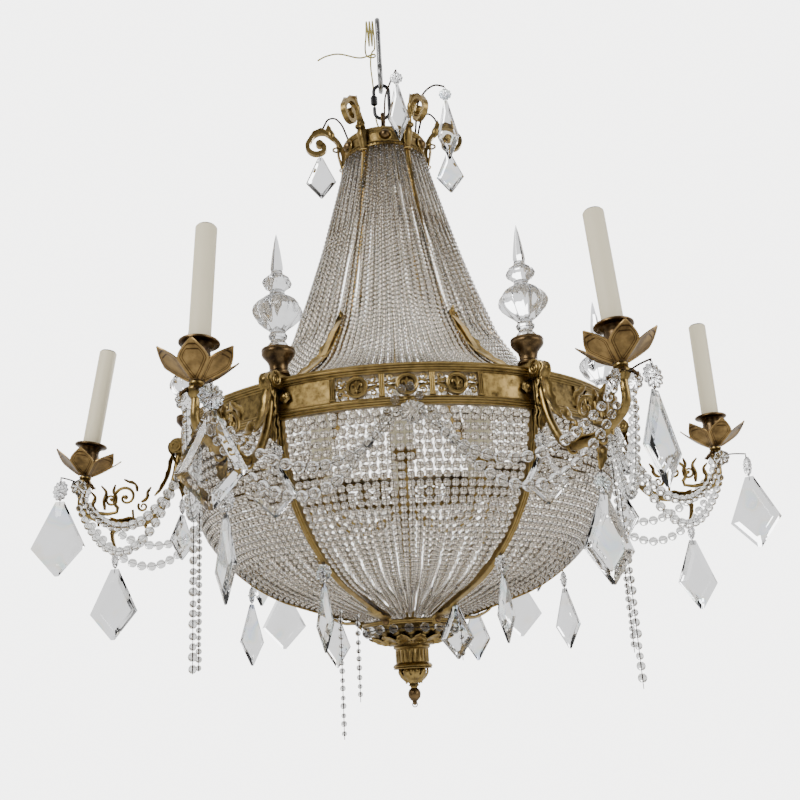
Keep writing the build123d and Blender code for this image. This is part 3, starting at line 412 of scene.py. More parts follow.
def make(name, pile, finishes, body="frame", nodes=(), angle=30):
    """One object from a pile, riding on a body."""
    mesh = bpy.data.meshes.new(name)
    mesh.from_pydata([vert * MM for vert in pile.verts], [], pile.faces)
    for label in finishes:
        mesh.materials.append(finish(label))
    mesh.polygons.foreach_set("material_index", pile.marks)
    mesh.update()
    if angle:
        mesh.shade_smooth()
        mesh.set_sharp_from_angle(angle=radians(angle))
    piece = bpy.data.objects.new(name, mesh)
    bpy.context.scene.collection.objects.link(piece)
    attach(piece, body)
    if nodes:
        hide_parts(*nodes)
    return piece


def dress(label, *nodes):
    """Gives CAD nodes a finish."""
    for node in nodes:
        mesh = frame["nodes"][node].data
        mesh.materials.clear()
        mesh.materials.append(finish(label))


# ------------------------------------------------------------------ finishes
# Places of a Mix node's colour sockets, which share their names with its other kinds
MIX_FIRST, MIX_SECOND, MIX_RESULT = 6, 7, 2


class Nodes:
    """Lays and links the nodes of one tree."""

    def __init__(self, tree):
        self.tree = tree

    def node(self, kind, **inputs):
        made = self.tree.nodes.new(kind)
        for name, value in inputs.items():
            self.feed(made.inputs[name.replace("_", " ")], value)
        return made

    def feed(self, socket, value):
        if isinstance(value, bpy.types.NodeSocket):
            self.tree.links.new(value, socket)
        elif isinstance(value, (tuple, list)) and len(value) == 3 and socket.type == "RGBA":
            socket.default_value = (*value, 1)
        else:
            socket.default_value = value

    def maths(self, kind, *values):
        made = self.tree.nodes.new("ShaderNodeMath")
        made.operation = kind
        for socket, value in zip(made.inputs, values):
            self.feed(socket, value)
        return made.outputs[0]

    def span(self, value, low, high):
        """0 at low, 1 at high, held between."""
        return self.node("ShaderNodeMapRange", Value=value, From_Min=low, From_Max=high).outputs["Result"]

    def blend(self, share, first, second, kind="MIX"):
        made = self.tree.nodes.new("ShaderNodeMix")
        made.data_type = "RGBA"
        made.blend_type = kind
        for socket, value in (("Factor", share), (MIX_FIRST, first), (MIX_SECOND, second)):
            self.feed(made.inputs[socket], value)
        return made.outputs[MIX_RESULT]

    def noise(self, vector, scale, detail=4.0, rough=0.6):
        return self.node(
            "ShaderNodeTexNoise", Vector=vector, Scale=scale, Detail=detail, Roughness=rough
        ).outputs["Fac"]

    def ramp(self, share, stops):
        made = self.node("ShaderNodeValToRGB", Fac=share)
        marks = made.color_ramp.elements
        while len(marks) < len(stops):
            marks.new(0.5)
        for mark, (place, tint) in zip(marks, stops):
            mark.position = place
            mark.color = (*tint, 1)
        return made.outputs["Color"]


def effect(name, inputs, outputs, lay):
    """A shader node group, built once; lay(nodes, inputs) gives its outputs."""
    if name in bpy.data.node_groups:
        return bpy.data.node_groups[name]
    made = bpy.data.node_groups.new(name, "ShaderNodeTree")
    for label, kind in inputs:
        made.interface.new_socket(name=label, in_out="INPUT", socket_type=f"NodeSocket{kind}")
    for label, kind in outputs:
        made.interface.new_socket(name=label, in_out="OUTPUT", socket_type=f"NodeSocket{kind}")
    nodes = Nodes(made)
    entry = made.nodes.new("NodeGroupInput")
    end = made.nodes.new("NodeGroupOutput")
    for socket, value in zip(end.inputs, lay(nodes, {socket.name: socket for socket in entry.outputs})):
        made.links.new(value, socket)
    return made


def worn_metal_and_painted_shade():
    """Patchy metal, bright where it is rubbed, with painted shade that darkens its hollows."""

    def lay(nodes, given):
        patches = nodes.noise(given["Vector"], given["Scale"])
        patch = nodes.blend(nodes.span(patches, 0.3, 0.55), given["Shade"], given["Body"])
        patch = nodes.blend(nodes.span(patches, 0.52, 0.74), patch, given["Rubbed"])
        # Painted shade: an ambient occlusion node darkens the colour in hollows and between parts, where
        # shade falls.
        hollow = nodes.node("ShaderNodeAmbientOcclusion", Distance=0.007)
        hollow.samples = 6
        opening = nodes.span(hollow.outputs["AO"], 0.3, 0.9)
        shade_painted_hollows = nodes.blend(opening, nodes.blend(0.7, patch, given["Shade"]), patch)
        point = nodes.node("ShaderNodeNewGeometry").outputs["Pointiness"]
        edge = nodes.maths("MULTIPLY", nodes.span(point, 0.5, 0.56), given["Wear"])
        grain = nodes.noise(given["Vector"], nodes.maths("MULTIPLY", given["Scale"], 7.0), 6.0, 0.7)
        rough = nodes.maths("MULTIPLY_ADD", grain, 0.24, nodes.maths("SUBTRACT", given["Roughness"], 0.12))
        return nodes.blend(edge, shade_painted_hollows, given["Rubbed"]), rough, grain

    return effect(
        "worn_metal_and_painted_shade",
        (("Vector", "Vector"), ("Rubbed", "Color"), ("Body", "Color"), ("Shade", "Color"), ("Scale", "Float"),
         ("Wear", "Float"), ("Roughness", "Float")),
        (("Colour", "Color"), ("Roughness", "Float"), ("Height", "Float")),
        lay,
    )


def streaks():
    """Faint streaks of tint through glass."""

    def lay(nodes, given):
        cloud = nodes.noise(given["Vector"], given["Scale"], 2.0, 0.5)
        deep = nodes.blend(1.0, given["Tint"], (0.93, 0.92, 0.9), "MULTIPLY")
        fine = nodes.noise(given["Vector"], nodes.maths("MULTIPLY", given["Scale"], 12.0), 2.0, 0.5)
        return nodes.blend(nodes.span(cloud, 0.35, 0.65), deep, given["Tint"]), fine

    return effect(
        "glass_streaks",
        (("Vector", "Vector"), ("Tint", "Color"), ("Scale", "Float")),
        (("Colour", "Color"), ("Height", "Float")),
        lay,
    )


def fine_grain():
    """Two shades that wander over a surface, and its grain."""

    def lay(nodes, given):
        cloud = nodes.noise(given["Vector"], given["Scale"])
        fine = nodes.noise(given["Vector"], nodes.maths("MULTIPLY", given["Scale"], 9.0), 5.0, 0.6)
        return nodes.blend(nodes.span(cloud, 0.3, 0.7), given["First"], given["Second"]), fine

    return effect(
        "fine_grain",
        (("Vector", "Vector"), ("First", "Color"), ("Second", "Color"), ("Scale", "Float")),
        (("Colour", "Color"), ("Height", "Float")),
        lay,
    )


def surface(name, group, bump, distance, shader, **inputs):
    """A material: one effect feeding a shader, whose even values are given."""
    made = bpy.data.materials.new(name)
    made.use_nodes = True
    nodes = Nodes(made.node_tree)
    face = made.node_tree.nodes["Principled BSDF"]
    for label, value in shader.items():
        face.inputs[label].default_value = value
    coords = nodes.node("ShaderNodeTexCoord").outputs["Object"]
    stretch = inputs.pop("Stretch", None)
    if stretch:
        coords = nodes.node("ShaderNodeMapping", Vector=coords, Scale=stretch).outputs["Vector"]
    placed = made.node_tree.nodes.new("ShaderNodeGroup")
    placed.node_tree = group
    for label, value in dict(inputs, Vector=coords).items():
        nodes.feed(placed.inputs[label], value)
    nodes.feed(face.inputs["Base Color"], placed.outputs["Colour"])
    if "Roughness" in placed.outputs:
        nodes.feed(face.inputs["Roughness"], placed.outputs["Roughness"])
    height = nodes.node("ShaderNodeBump", Strength=bump, Distance=distance, Height=placed.outputs["Height"])
    nodes.feed(face.inputs["Normal"], height.outputs["Normal"])
    return made, nodes, face, placed


def metal(name, rubbed, shade, rough, wear=0.5, scale=90.0, body=0.5):
    """Old metal between a rubbed colour and its shade colour, with painted shade in its hollows."""
    middle = tuple(a * body + b * (1 - body) for a, b in zip(rubbed, shade))
    return surface(
        name, worn_metal_and_painted_shade(), 0.12, 0.0006, {"Metallic": 1.0},
        Rubbed=tuple(rubbed), Body=middle, Shade=tuple(shade), Scale=scale, Wear=wear, Roughness=rough,
    )


def glass(name, tint, rough=0.02, ior=1.52, scale=30.0):
    """Clear cut glass, faintly streaked inside."""
    even = {"IOR": ior, "Transmission Weight": 1.0, "Roughness": rough}
    return surface(name, streaks(), 0.03, 0.0003, even, Tint=tuple(tint), Scale=scale)


def rainbow_painted_glass(name, tint):
    """Cut crystal with painted rainbow glints: bands of amber, green and blue in its base colour stand in for
    the light that crystal splits into colours.
    """
    made, nodes, face, placed = glass(name, tint, 0.0, 1.54)
    coords = nodes.node("ShaderNodeTexCoord").outputs["Object"]
    # Painted light: rainbow glints painted into the base colour in place of real dispersion.
    white, amber, green, blue = (1, 1, 1), (1, 0.82, 0.55), (0.5, 0.9, 0.8), (0.4, 0.55, 1.0)
    stops = [(0.56, white), (0.6, amber), (0.635, green), (0.67, blue), (0.72, white)]
    painted_rainbow_bands = nodes.ramp(nodes.noise(coords, 26.0, 1.0, 0.4), stops)
    nodes.feed(face.inputs["Base Color"], nodes.blend(0.4, placed.outputs["Colour"], painted_rainbow_bands))
    return (made,)


def plain(name, first, second, rough, scale=60.0, bump=0.1, metallic=0.0, stretch=(1, 1, 1)):
    """A dull surface with a little colour change and grain."""
    even = {"Metallic": metallic, "Roughness": rough}
    return surface(
        name, fine_grain(), bump, 0.0004, even, First=first, Second=second, Scale=scale, Stretch=stretch
    )


def petal_gilt(rubbed, shade):
    """Gilt petals with two fine dark lines inside their edges."""
    made, nodes, face, placed = metal("petal_gilt", rubbed, shade, 0.36, 0.5, 45.0)
    coords = nodes.node("ShaderNodeTexCoord").outputs["UV"]
    across = nodes.node("ShaderNodeSeparateXYZ", Vector=coords).outputs["X"]
    white, ink = (1, 1, 1), (0.13, 0.08, 0.035)
    lines = nodes.ramp(across, [
        (0.125, white), (0.14, ink), (0.165, ink), (0.18, white),
        (0.25, white), (0.265, ink), (0.285, ink), (0.3, white),
    ])
    nodes.feed(face.inputs["Base Color"], nodes.blend(0.9, placed.outputs["Colour"], lines, "MULTIPLY"))
    return (made,)


RECIPES = {
    "gold": lambda tints: metal("antique_gold", tints.gold, tints.gold_dark, 0.32, 0.5, 110.0, 0.72),
    "rod": lambda tints: metal("bright_rod", tints.rod, tints.gold_dark, 0.24, 0.4, 40.0, 0.72),
    "bronze": lambda tints: metal("dark_bronze", tints.bronze, (0.022, 0.014, 0.009), 0.34, 0.4, 70.0, 0.4),
    "petal": lambda tints: petal_gilt(tints.petal, (0.07, 0.042, 0.017)),
    "bead": lambda tints: glass("bead_glass", tints.bead, 0.03),
    "smoky": lambda tints: glass("smoky_bead_glass", tints.smoky, 0.04),
    "clear": lambda tints: glass("clear_bead_glass", (0.95, 0.95, 0.94), 0.01),
    "cut": lambda tints: rainbow_painted_glass("cut_glass", tints.crystal),
    "finial": lambda tints: glass("finial_glass", tints.crystal, 0.0, 1.5),
    "wire": lambda tints: plain("dark_wire", (0.02, 0.016, 0.012), (0.085, 0.06, 0.04), 0.4, 200.0, 0.2, 0.9),
    "card": lambda tints: plain(
        "cream_card", tuple(tints.card), tuple(c * 0.93 for c in tints.card), 0.55, 25.0, 0.15, 0.0,
        (1, 1, 0.12),
    ),
    "socket": lambda tints: plain("black_socket", (0.012, 0.012, 0.012), (0.03, 0.03, 0.03), 0.4),
    "steel": lambda tints: plain("worn_steel", (0.2, 0.2, 0.2), (0.5, 0.5, 0.49), 0.28, 60.0, 0.1, 1.0),
    "black_steel": lambda tints: plain(
        "blackened_steel", (0.02, 0.02, 0.022), (0.07, 0.07, 0.07), 0.35, 90.0, 0.15, 0.9
    ),
    "flex": lambda tints: plain(
        "yellow_flex", tuple(c * 0.6 for c in tints.flex), tuple(tints.flex), 0.5, 300.0, 0.4
    ),
    "floor": lambda tints: plain("floor_paint", (0.84, 0.84, 0.83), (0.88, 0.88, 0.87), 0.7, 2.0, 0.02),
}
FINISHES = {}


def finish(label):
    """A finish, made the first time that a piece asks for it."""
    if label not in FINISHES:
        FINISHES[label] = RECIPES[label](bpy.context.scene.chandelier_colours)[0]
    return FINISHES[label]


# ------------------------------------------------------------------ stage
CAMERA_PLACE = (0, -1.3834, -1.0717)
CAMERA_YAW, CAMERA_PITCH, CAMERA_ROLL = -0.11, 17.38, -3.21
FLOOR_HALF, FLOOR_LEVEL = 5.5, -1.9


def make_world():
    """White to the eye and behind the piece, darker in front of it for the glass and metal."""
    world = bpy.data.worlds.new("studio")
    bpy.context.scene.world = world
    world.use_nodes = True
    nodes = Nodes(world.node_tree)
    coords = nodes.node("ShaderNodeTexCoord").outputs["Generated"]
    heading = nodes.node("ShaderNodeSeparateXYZ", Vector=coords)
    depth = nodes.maths("MULTIPLY_ADD", heading.outputs["Y"], 0.5, 0.5)
    room = nodes.ramp(depth, [(0.25, (0.13, 0.125, 0.12)), (0.8, (1, 1, 1))])
    sight = nodes.node("ShaderNodeLightPath").outputs["Is Camera Ray"]
    back = world.node_tree.nodes["Background"]
    nodes.feed(back.inputs["Color"], nodes.blend(sight, room, (3.4, 3.38, 3.34)))
    back.inputs["Strength"].default_value = 1.5


def make_floor():
    deselect()
    bpy.ops.mesh.primitive_grid_add(
        x_subdivisions=4, y_subdivisions=4, size=2 * FLOOR_HALF, location=(0, 0, 0), enter_editmode=True
    )
    bpy.ops.transform.translate(value=(0, 0, FLOOR_LEVEL))
    bpy.ops.object.mode_set(mode="OBJECT")
    floor = bpy.context.object
    floor.name = "floor"
    floor.data.materials.append(finish("floor"))


def make_lights():
    for name, place, aim, size, power in (
        ("key", (-1.8, -2.2, 1.0), (0, 0, -0.7), 1.4, 70),
        ("fill", (2.4, -1.6, 0.2), (0, 0, -0.7), 1.6, 36),
        ("rim", (1.2, 2.4, 0.8), (0, 0, -0.6), 1.5, 45),
    ):
        turn = (Vector(aim) - Vector(place)).to_track_quat("-Z", "Y").to_euler()
        bpy.ops.object.light_add(type="AREA", radius=size, location=place, rotation=turn)
        holder = bpy.context.object
        holder.name = name
        holder.data.energy = power


def make_camera():
    lens = bpy.data.cameras.new("camera")
    lens.sensor_width = 36
    lens.lens = 45.48
    camera = bpy.data.objects.new("camera", lens)
    aim = turned(CAMERA_YAW) @ turned(90 + CAMERA_PITCH, "X") @ turned(CAMERA_ROLL)
    camera.matrix_world = moved(*CAMERA_PLACE) @ aim
    bpy.context.scene.collection.objects.link(camera)
    bpy.context.scene.camera = camera


# ------------------------------------------------------------------ cords
BAR_RADIUS = 16                 # of the bar that the flex was wound on
FLEX_RADIUS = 1.3
WRAPS = 3
WRAP_START, WRAP_PITCH = -18.8, 4.8
TAIL_POINTS = [
    (-98, -10, -69), (-90, -10, -63.5), (-80, -10, -60), (-69, -10, -58), (-58, -10, -59.5),
    (-47, -10, -63.5), (-37, -10.5, -67.5), (-27, -11, -69), (-18, -11, -66), (-6, -8, -60),
    (-6, 8, -56), (-21, 11, -52), (-22, -7, -47),
]
FALL_POINTS = [(-11, 5, -46), (-14, 1, -62), (-14.5, 3, -79), (-13, 7, -96), (-12, 9, -112)]
LEAD_POINTS = [(-12, 9, -112.3), (-11.5, 9.6, -138), (-11.3, 9, -162), (-8.5, 7.5, -182), (-4, 3.5, -196)]


def cord_piece(name, points, body, node):
    """A flex on one smooth spline through its route's points."""
    curve = bpy.data.curves.new(name, "CURVE")
    curve.dimensions = "3D"
    curve.bevel_depth = FLEX_RADIUS * MM
    curve.bevel_resolution = 4
    curve.use_fill_caps = True
    spline = curve.splines.new("NURBS")
    spline.points.add(len(points) - 1)
    for mark, point in zip(spline.points, points):
        mark.co = (point[0] * MM, point[1] * MM, point[2] * MM, 1)
    spline.order_u = 3
    spline.use_endpoint_u = True
    spline.resolution_u = 12
    curve.materials.append(finish("flex"))
    piece = bpy.data.objects.new(name, curve)
    bpy.context.scene.collection.objects.link(piece)
    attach(piece, body)
    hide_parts(node)


def make_cords():
    wrap_half = BAR_RADIUS + FLEX_RADIUS + 0.1
    corners = ((-1, -1), (-1, 1), (1, 1), (1, -1))
    wraps = []
    for n in range(4 * WRAPS):
        side, rise = corners[n % 4]
        wraps.append((WRAP_START + n * WRAP_PITCH / 4, side * wrap_half, rise * wrap_half - BAR_RADIUS))
    route = TAIL_POINTS + wraps + FALL_POINTS
    cord_piece("flex_round_bar", route, "hook", "supply_wire")
    cord_piece("flex_into_spindle", LEAD_POINTS, "frame", "supply_wire_lead")


# ------------------------------------------------------------------ crown and tent
def make_gear():
    dress("steel", "snap_hook", "hook_gate")
    dress("black_steel", "quick_link", "link_nut")
    dress("bronze", "top_spindle")
    dress("wire", "crown_wires")


def make_crown():
    dress("gold", "crown_ring", "crown_scrolls")
    pile = Pile()
    middle = CROWN_BOTTOM + 15
    for radius, height, thick in (
        (63.4, CROWN_TOP - 2, 1.6), (62.0, CROWN_TOP - 7.5, 0.9), (62.4, CROWN_BOTTOM + 6.5, 1.0)
    ):
        pile.add(hoop(radius, thick, 72, middle=(0, 0, height)))
    pearl = bead(6, 4)
    for n in range(72):
        pile.add(pearl, spot(n * 5, 63.6, CROWN_BOTTOM + 2) @ sized(3.0))
    boss_ring = hoop(9.2, 1.5, 28, "X")
    dome = lathe([(7.2, 0), (6.6, 2.6), (4.6, 4.6), (2.0, 5.6), (0.3, 5.8)], 20)
    for angle in BAY_ANGLES:
        pile.add(boss_ring, spot(angle, 63.2, middle))
        pile.add(dome, spot(angle, 65.6, middle) @ turned(90, "Y"), 1)
    # A leaf stands up each scroll, and a clasp ties it to the ring
    base = CROWN_BOTTOM
    side = (0, -1, 0)
    rise = leaf(upright(((67, -2), (71.5, 18), (73, 38), (80, 58)), base), 17, 4, 0.3, 1.2, side)
    over = leaf(upright(((79, 54), (95, 65), (110, 59), (117, 42)), base), 13, 4, 0.3, 1.2, side)
    bud = lathe([(1.5, 0), (5.2, 6), (6.2, 11), (4.4, 18), (3.2, 21), (3.8, 24), (0.4, 31)], 16)
    eye = lathe([(5.4, -5.6), (6.0, -4.6), (6.0, 4.6), (5.4, 5.6)], 18)
    clasp = hoop(6.4, 1.6, 20, "Y")
    for angle in POST_ANGLES:
        place = turned(angle)
        pile.add(rise, place)
        pile.add(over, place)
        pile.add(bud, place @ moved(79, 0, base + 46) @ turned(14, "Y"))
        pile.add(eye, place @ moved(100, 0, base + 41) @ turned(90, "X"))
        pile.add(clasp, place @ moved(73, 0, base + 30) @ turned(90, "X"))
    make("crown_ornament", pile, ["gold", "bronze"])


# Rows slip behind each other where the tent and the basket narrow. Every third row stays
# outside, the next slips in at the second of these places, and the last at both
LAYERS = 3
LAYER_DEPTH = 7.0
TENT_SLIPS = (100, 270)
BASKET_SLIPS = (0.48, 0.74)


def slip(place, layer, slips, run):
    """How far in a row of a layer lies at a place."""
    steps = slips[LAYERS - 1 - layer:] if layer else ()
    return sum(LAYER_DEPTH * min(1, max(0, (place - start) / run)) for start in steps)


def tent_path(angle, layer):
    """A tent row's line."""
    place = turned(angle)
    points = []
    for radius, height in TENT_LINE:
        points.append(place @ Vector((radius - slip(height, layer, TENT_SLIPS, 60), 0, GALLERY_TOP + height)))
    return smooth_path(points, 5)


def make_tent(sizes):
    dress("rod", "tent_rods")
    shape = bead()
    foot, head = sizes.tent_bead / MM, sizes.crown_bead / MM
    for bay, first in enumerate(POST_ANGLES):
        pile = Pile()
        step = 60 / (sizes.tent_rows + 1)
        paths = [tent_path(first + (n + 1) * step, n % LAYERS) for n in range(sizes.tent_rows)]
        string_beads(pile, paths, lambda share: head + (foot - head) * share**0.8, shape, 1.05, 0.16, 0.9)
        nodes = ("tent_strands",) if bay == 0 else ()
        name = f"tent_beads_{POST_NAMES[bay]}"
        make(name, pile, ["bead", "wire"], nodes=nodes, angle=80)
    pile = Pile()
    line = [(262, 6), (232, 26), (196, 54), (166, 90), (145, 126), (147, 137)]
    foot_leaf = leaf(upright(line, GALLERY_TOP), 22, 7, 0.35, 1.4, (0, 1, 0), 0.95)
    collar = hoop(5.2, 1.3, 18)
    for angle in POST_ANGLES:
        pile.add(foot_leaf, turned(angle) @ moved(5, 0, 3))
        pile.add(collar, spot(angle, 65, CROWN_BOTTOM - 6))
    make("rod_leaves", pile, ["rod"])


# ------------------------------------------------------------------ gallery and finials
def make_frieze():
    dress("gold", "gallery_ring", "gallery_posts")
    pile = Pile()
    for radius, height, thick in (
        (303.0, GALLERY_TOP - 0.2, 1.4), (303.2, GALLERY_TOP - 3.6, 1.0),
        (302.4, GALLERY_TOP - 6.2, 1.1), (301.2, GALLERY_TOP - 8.8, 0.9),
        (301.4, GALLERY_BOTTOM + 8.8, 0.9), (302.8, GALLERY_BOTTOM + 5.4, 1.2),
        (303.2, GALLERY_BOTTOM + 2.4, 1.2), (301.6, GALLERY_BOTTOM + 0.2, 1.2),
    ):
        pile.add(hoop(radius, thick, 144, middle=(0, 0, height)))
    # Roundels: a milled rim, a lily within, and a curl in each corner
    rim = tube(
        [(0, 11.6 * cos(2 * pi * n / 32), 11.6 * sin(2 * pi * n / 32)) for n in range(33)],
        [1.3 + 0.25 * (n % 2) for n in range(33)], 6,
    )
    stem = lathe([
        (0.4, -7.5), (1.3, -5.5), (0.9, -3), (1.6, -2), (1.6, -1.2), (0.9, -0.4), (1.9, 2.6), (2.2, 4.4),
        (0.2, 8.2),
    ], 10)
    roundel = [rim, hoop(9.4, 0.55, 28, "X"), stem]
    petal = ((0.9, -2), (1.6, 1.2), (3.4, 3.4), (5.4, 3.2), (5.8, 1.2), (4.4, 0.6))
    for side in (-1, 1):
        roundel.append(tube([(0, side * y, z) for y, z in petal], [1.1, 1.2, 1.2, 1.1, 0.9, 0.6], 6))
        for up in (-1, 1):
            points = []
            for k in range(17):
                reach, turn = 5.2 - 0.26 * k, radians(-150 + 24 * k)
                points.append((0, side * (18.5 + reach * cos(turn)), up * (8.5 + reach * sin(turn))))
            roundel.append(tube(points, [1.2 - 0.03 * k for k in range(17)], 6))
            stalk = ((13, 6.5), (15.5, 3.2), (21, 1.6), (24.5, 0))
            roundel.append(tube([(0, side * y, up * z) for y, z in stalk], 0.8, 6))
    tie = ((-3.4, -5.6), (-1.6, -4.2), (0, -5), (1.6, -4.2), (3.4, -5.6))
    roundel.append(tube([(0, y, z) for y, z in tie], 0.7, 6))
    pilaster = [tube([(0, y, -12.5), (0, y, 12.5)], 0.75, 6) for y in (-2.2, 0, 2.2)]
    pilaster += [tube([(-0.4, -3.6, z), (-0.4, 3.6, z)], 1.1, 6) for z in (-12.6, 12.6)]
    middle = GALLERY_TOP - 24
    for bay in BAY_ANGLES:
        for count in (-1, 0, 1):
            for shape in roundel:
                pile.add(shape, spot(bay + count * ROUNDEL_PITCH, FRIEZE_RADIUS, middle))
        for count in (-1.5, -0.5, 0.5, 1.5):
            for shape in pilaster:
                pile.add(shape, spot(bay + count * ROUNDEL_PITCH, FRIEZE_RADIUS + 0.6, middle))
    make("gallery_ornament", pile, ["gold"])


def make_posts():
    """Volutes, a leaf down each post's front and a leafy tip, with a bud to each side."""
    pile = Pile()
    curl = spiral((315, GALLERY_TOP - 4), 8.6, 1.0, 1.9, 80, 34)
    volute = tube(curl, [1.5 - 0.02 * n for n in range(35)], 6)
    side = (0, -1, 0)
    top, bottom = GALLERY_TOP, GALLERY_BOTTOM
    line = [(320, 5), (325, -4), (319, -17), (312, -32), (311.5, -44), (316, -50)]
    front = leaf(upright(line, top), 17, 5, 0.25, 1.2, side)
    line = [(309, 4), (312, -8), (308, -18), (306, -26)]
    tip = leaf(upright(line, bottom), 13, 3, 0.3, 1.2, side)
    bud = lathe([(0.5, 0), (5.5, 1.5), (6.5, 3.2), (4.4, 5.0), (3.2, 5.2), (2.4, 7.2), (0.3, 7.8)], 30)
    fluted(bud, 5, lambda height: 0.14 if 1 < height < 5.1 else 0)
    for angle in POST_ANGLES:
        place = turned(angle)
        pile.add(front, place)
        pile.add(tip, place)
        for side_way in (-1, 1):
            pile.add(volute, place @ moved(0, side_way * 9.3, 0))
            pile.add(tip, place @ moved(-1.5, side_way * 3.4, 1.5))
            pile.add(bud, spot(angle + side_way * 2.55, 301, top - 24) @ turned(90, "Y"))
    make("post_leaves", pile, ["gold"])


def make_gallery_beads():
    """The row under the gallery, and the rows seen behind the pierced frieze."""
    pile = Pile()
    large, small = bead(8, 6), bead(6, 4)
    for n in range(144):
        angle = 2.5 * n
        near = min(abs((angle - post + 180) % 360 - 180) for post in POST_ANGLES)
        if near > 1.3:
            pile.add(large, spot(angle, EDGE_BEAD_RADIUS, GALLERY_BOTTOM - 6.2, n * 37) @ sized(11.6))
    for row in range(3):
        for n in range(190):
            angle = 360 * (n + 0.5 * (row % 2)) / 190
            pile.add(small, spot(angle, 289.5, GALLERY_TOP - 14.5 - row * 9.3, n * 23) @ sized(8.6))
    make("gallery_bead_rows", pile, ["bead"], nodes=("gallery_beads",), angle=80)


def make_finials():
    vase = lathe([
        (13.5, 0), (13.8, 1.2), (13.2, 2.2), (13.2, 3.2), (12.2, 4.2), (11.0, 5.4), (10.8, 8), (11.2, 12),
        (12.6, 16), (15.6, 20), (18.6, 23.4), (19.6, 25.4), (19.8, 28), (19.4, 29.2), (20.0, 30.4),
        (19.4, 32.3), (17.0, 32.4), (16.0, 31.0),
    ])
    body = lathe([
        (10.5, 0), (12.0, 2.0), (12.2, 5.0), (9.5, 8.5), (8.4, 11), (10.8, 14), (11.4, 17), (9.4, 20),
        (9.4, 23), (13.0, 27), (19.0, 32), (24.8, 38), (28.0, 44), (28.6, 49), (27.0, 54.5), (23.0, 60),
        (17.5, 64.5), (12.0, 68), (9.6, 71), (8.8, 75), (11.2, 77.5), (15.6, 81), (17.2, 85.5), (15.4, 90),
        (11.8, 93.5), (8.6, 96), (7.2, 98.5), (7.0, 100.5),
    ], 64)
    fluted(body, 8, lambda height: 0.07 if 24 < height < 68 else 0.06 if 79 < height < 92 else 0)
    spike = lathe([(6.0, 99), (7.6, 104), (7.2, 110), (5.2, 125), (2.6, 141), (0.3, 151)], 6)
    cups, finials = Pile(), Pile()
    for angle in POST_ANGLES:
        cups.add(vase, spot(angle, FINIAL_RADIUS, VASE_FOOT))
        place = spot(angle, FINIAL_RADIUS, VASE_FOOT + VASE_HEIGHT)
        finials.add(body, place)
        finials.add(spike, place)
    make("finial_cups", cups, ["bronze"], nodes=("finial_vases",))
    make("cut_finials", finials, ["finial"], nodes=("glass_finials",), angle=24)


# ------------------------------------------------------------------ arms and candles
def make_arms():
    pile = Pile()
    top, low = GALLERY_TOP, GALLERY_TOP - ARM_DROP
    for post, angle in enumerate(POST_ANGLES):
        end = candle_place(post).translation
        reach = hypot(end.x, end.y)
        corners = [
            (310.8, 0, -703), (319, 0, -752), (345, 0, low + 3), (401, 0, low), (ARM_REACH, 0, ARM_RISE),
            (reach, 0, ARM_END),
        ]
        path = rounded(corners, 26, 8)
        radii = [4.7 + 0.8 * sin(pi * n / (len(path) - 1)) for n in range(len(path))]
        pile.add(tube(path, radii, 16), turned(angle))
    side = (0, -1, 0)
    leaves = []
    for width, lobes, line in (
        (16, 5, ((316, -6), (322, -22), (326, -42), (336, -62), (345, -71))),
        (15, 4, ((392, -114), (400, -121), (399, -133), (396, -142.5))),
        (12, 4, ((360, -107), (376, -102), (392, -104), (404, -99))),
        (12, 3, ((412, -88), (414, -76), (411, -64), (417, -54))),
        (11, 3, ((400, -82), (397, -72), (401, -63), (398, -54))),
        (11, 3, ((368, -64), (371, -54), (380, -50), (386, -46))),
        (11, 3, ((362, -80), (355, -74), (354, -66), (349, -60))),
        (11, 3, ((424, -90), (429, -80), (426, -70), (431, -62))),
    ):
        leaves.append(leaf(upright(line, top), width, lobes, 0.3, 1.6, side))
    main = spiral((384, top - 72), 18.5, 3.2, 1.35, -78, 40)
    stalk = [(434, 0, top - 86), (424, 0, top - 92), (408, 0, top - 94.5), (396, 0, top - 92.5)] + main[2:]
    curls = []
    for path, thick in (
        (stalk, 2.7),
        (spiral((404, top - 74), 8.5, 2.0, 1.2, 200, 26), 2.0),
        (spiral((360, top - 86), 7.0, 1.6, -1.25, 40, 26), 2.0),
    ):
        curls.append(tube(path, [thick * (1 - 0.45 * n / len(path)) for n in range(len(path))], 8))
    for x in (372, 420):
        curls.append(tube([(x, 0, low), (x + 2, 0, top - 90)], 1.8, 6))
    berry = bead(10, 7)
    collar = hoop(6.4, 1.5, 20, "X")
    for angle in POST_ANGLES:
        place = turned(angle)
        for shape in (*leaves, *curls):
            pile.add(shape, place)
        pile.add(berry, place @ moved(384, 0, top - 72) @ sized(7.0))
        pile.add(berry, place @ moved(404, 0, top - 74) @ sized(4.8))
        pile.add(collar, place @ moved(356, 0, low + 1.6))
        pile.add(collar, place @ moved(404, 0, low + 0.4))
    make("arm_castings", pile, ["gold"], nodes=("candle_arms",))


def make_knops():
    """Each arm's end: a gold knop, dark leaf lobes and the wire that a drop hangs on."""
    pile = Pile()
    knop = lathe([
        (5.4, -1.5), (6.4, 0), (8.2, 2.6), (9.8, 6.5), (10.0, 8.5), (8.6, 11.6), (7.2, 13.2), (8.4, 14.4),
        (8.2, 16.2), (6.0, 17.0),
    ], 32)
    lobe = leaf([(6, 0, 11), (12, 0, 7), (15.5, 0, 3), (17, 0, 5)], 9, 2, 0.3, 1.3)
    hanger = tube(smooth_path([(9, 0, 5), (24, 0, 6.2), (38, 0, 5.6), (42.6, 0, 5.0)], 5), 1.1, 6)
    for post in range(BAYS):
        place = candle_place(post)
        pile.add(knop, place)
        for n in range(4):
            pile.add(lobe, place @ turned(45 + n * 90), 1)
        pile.add(hanger, place @ turned(HANGER_TURNS[post]), 2)
    make("arm_end_knops", pile, ["gold", "bronze", "wire"], nodes=("arm_knops",))


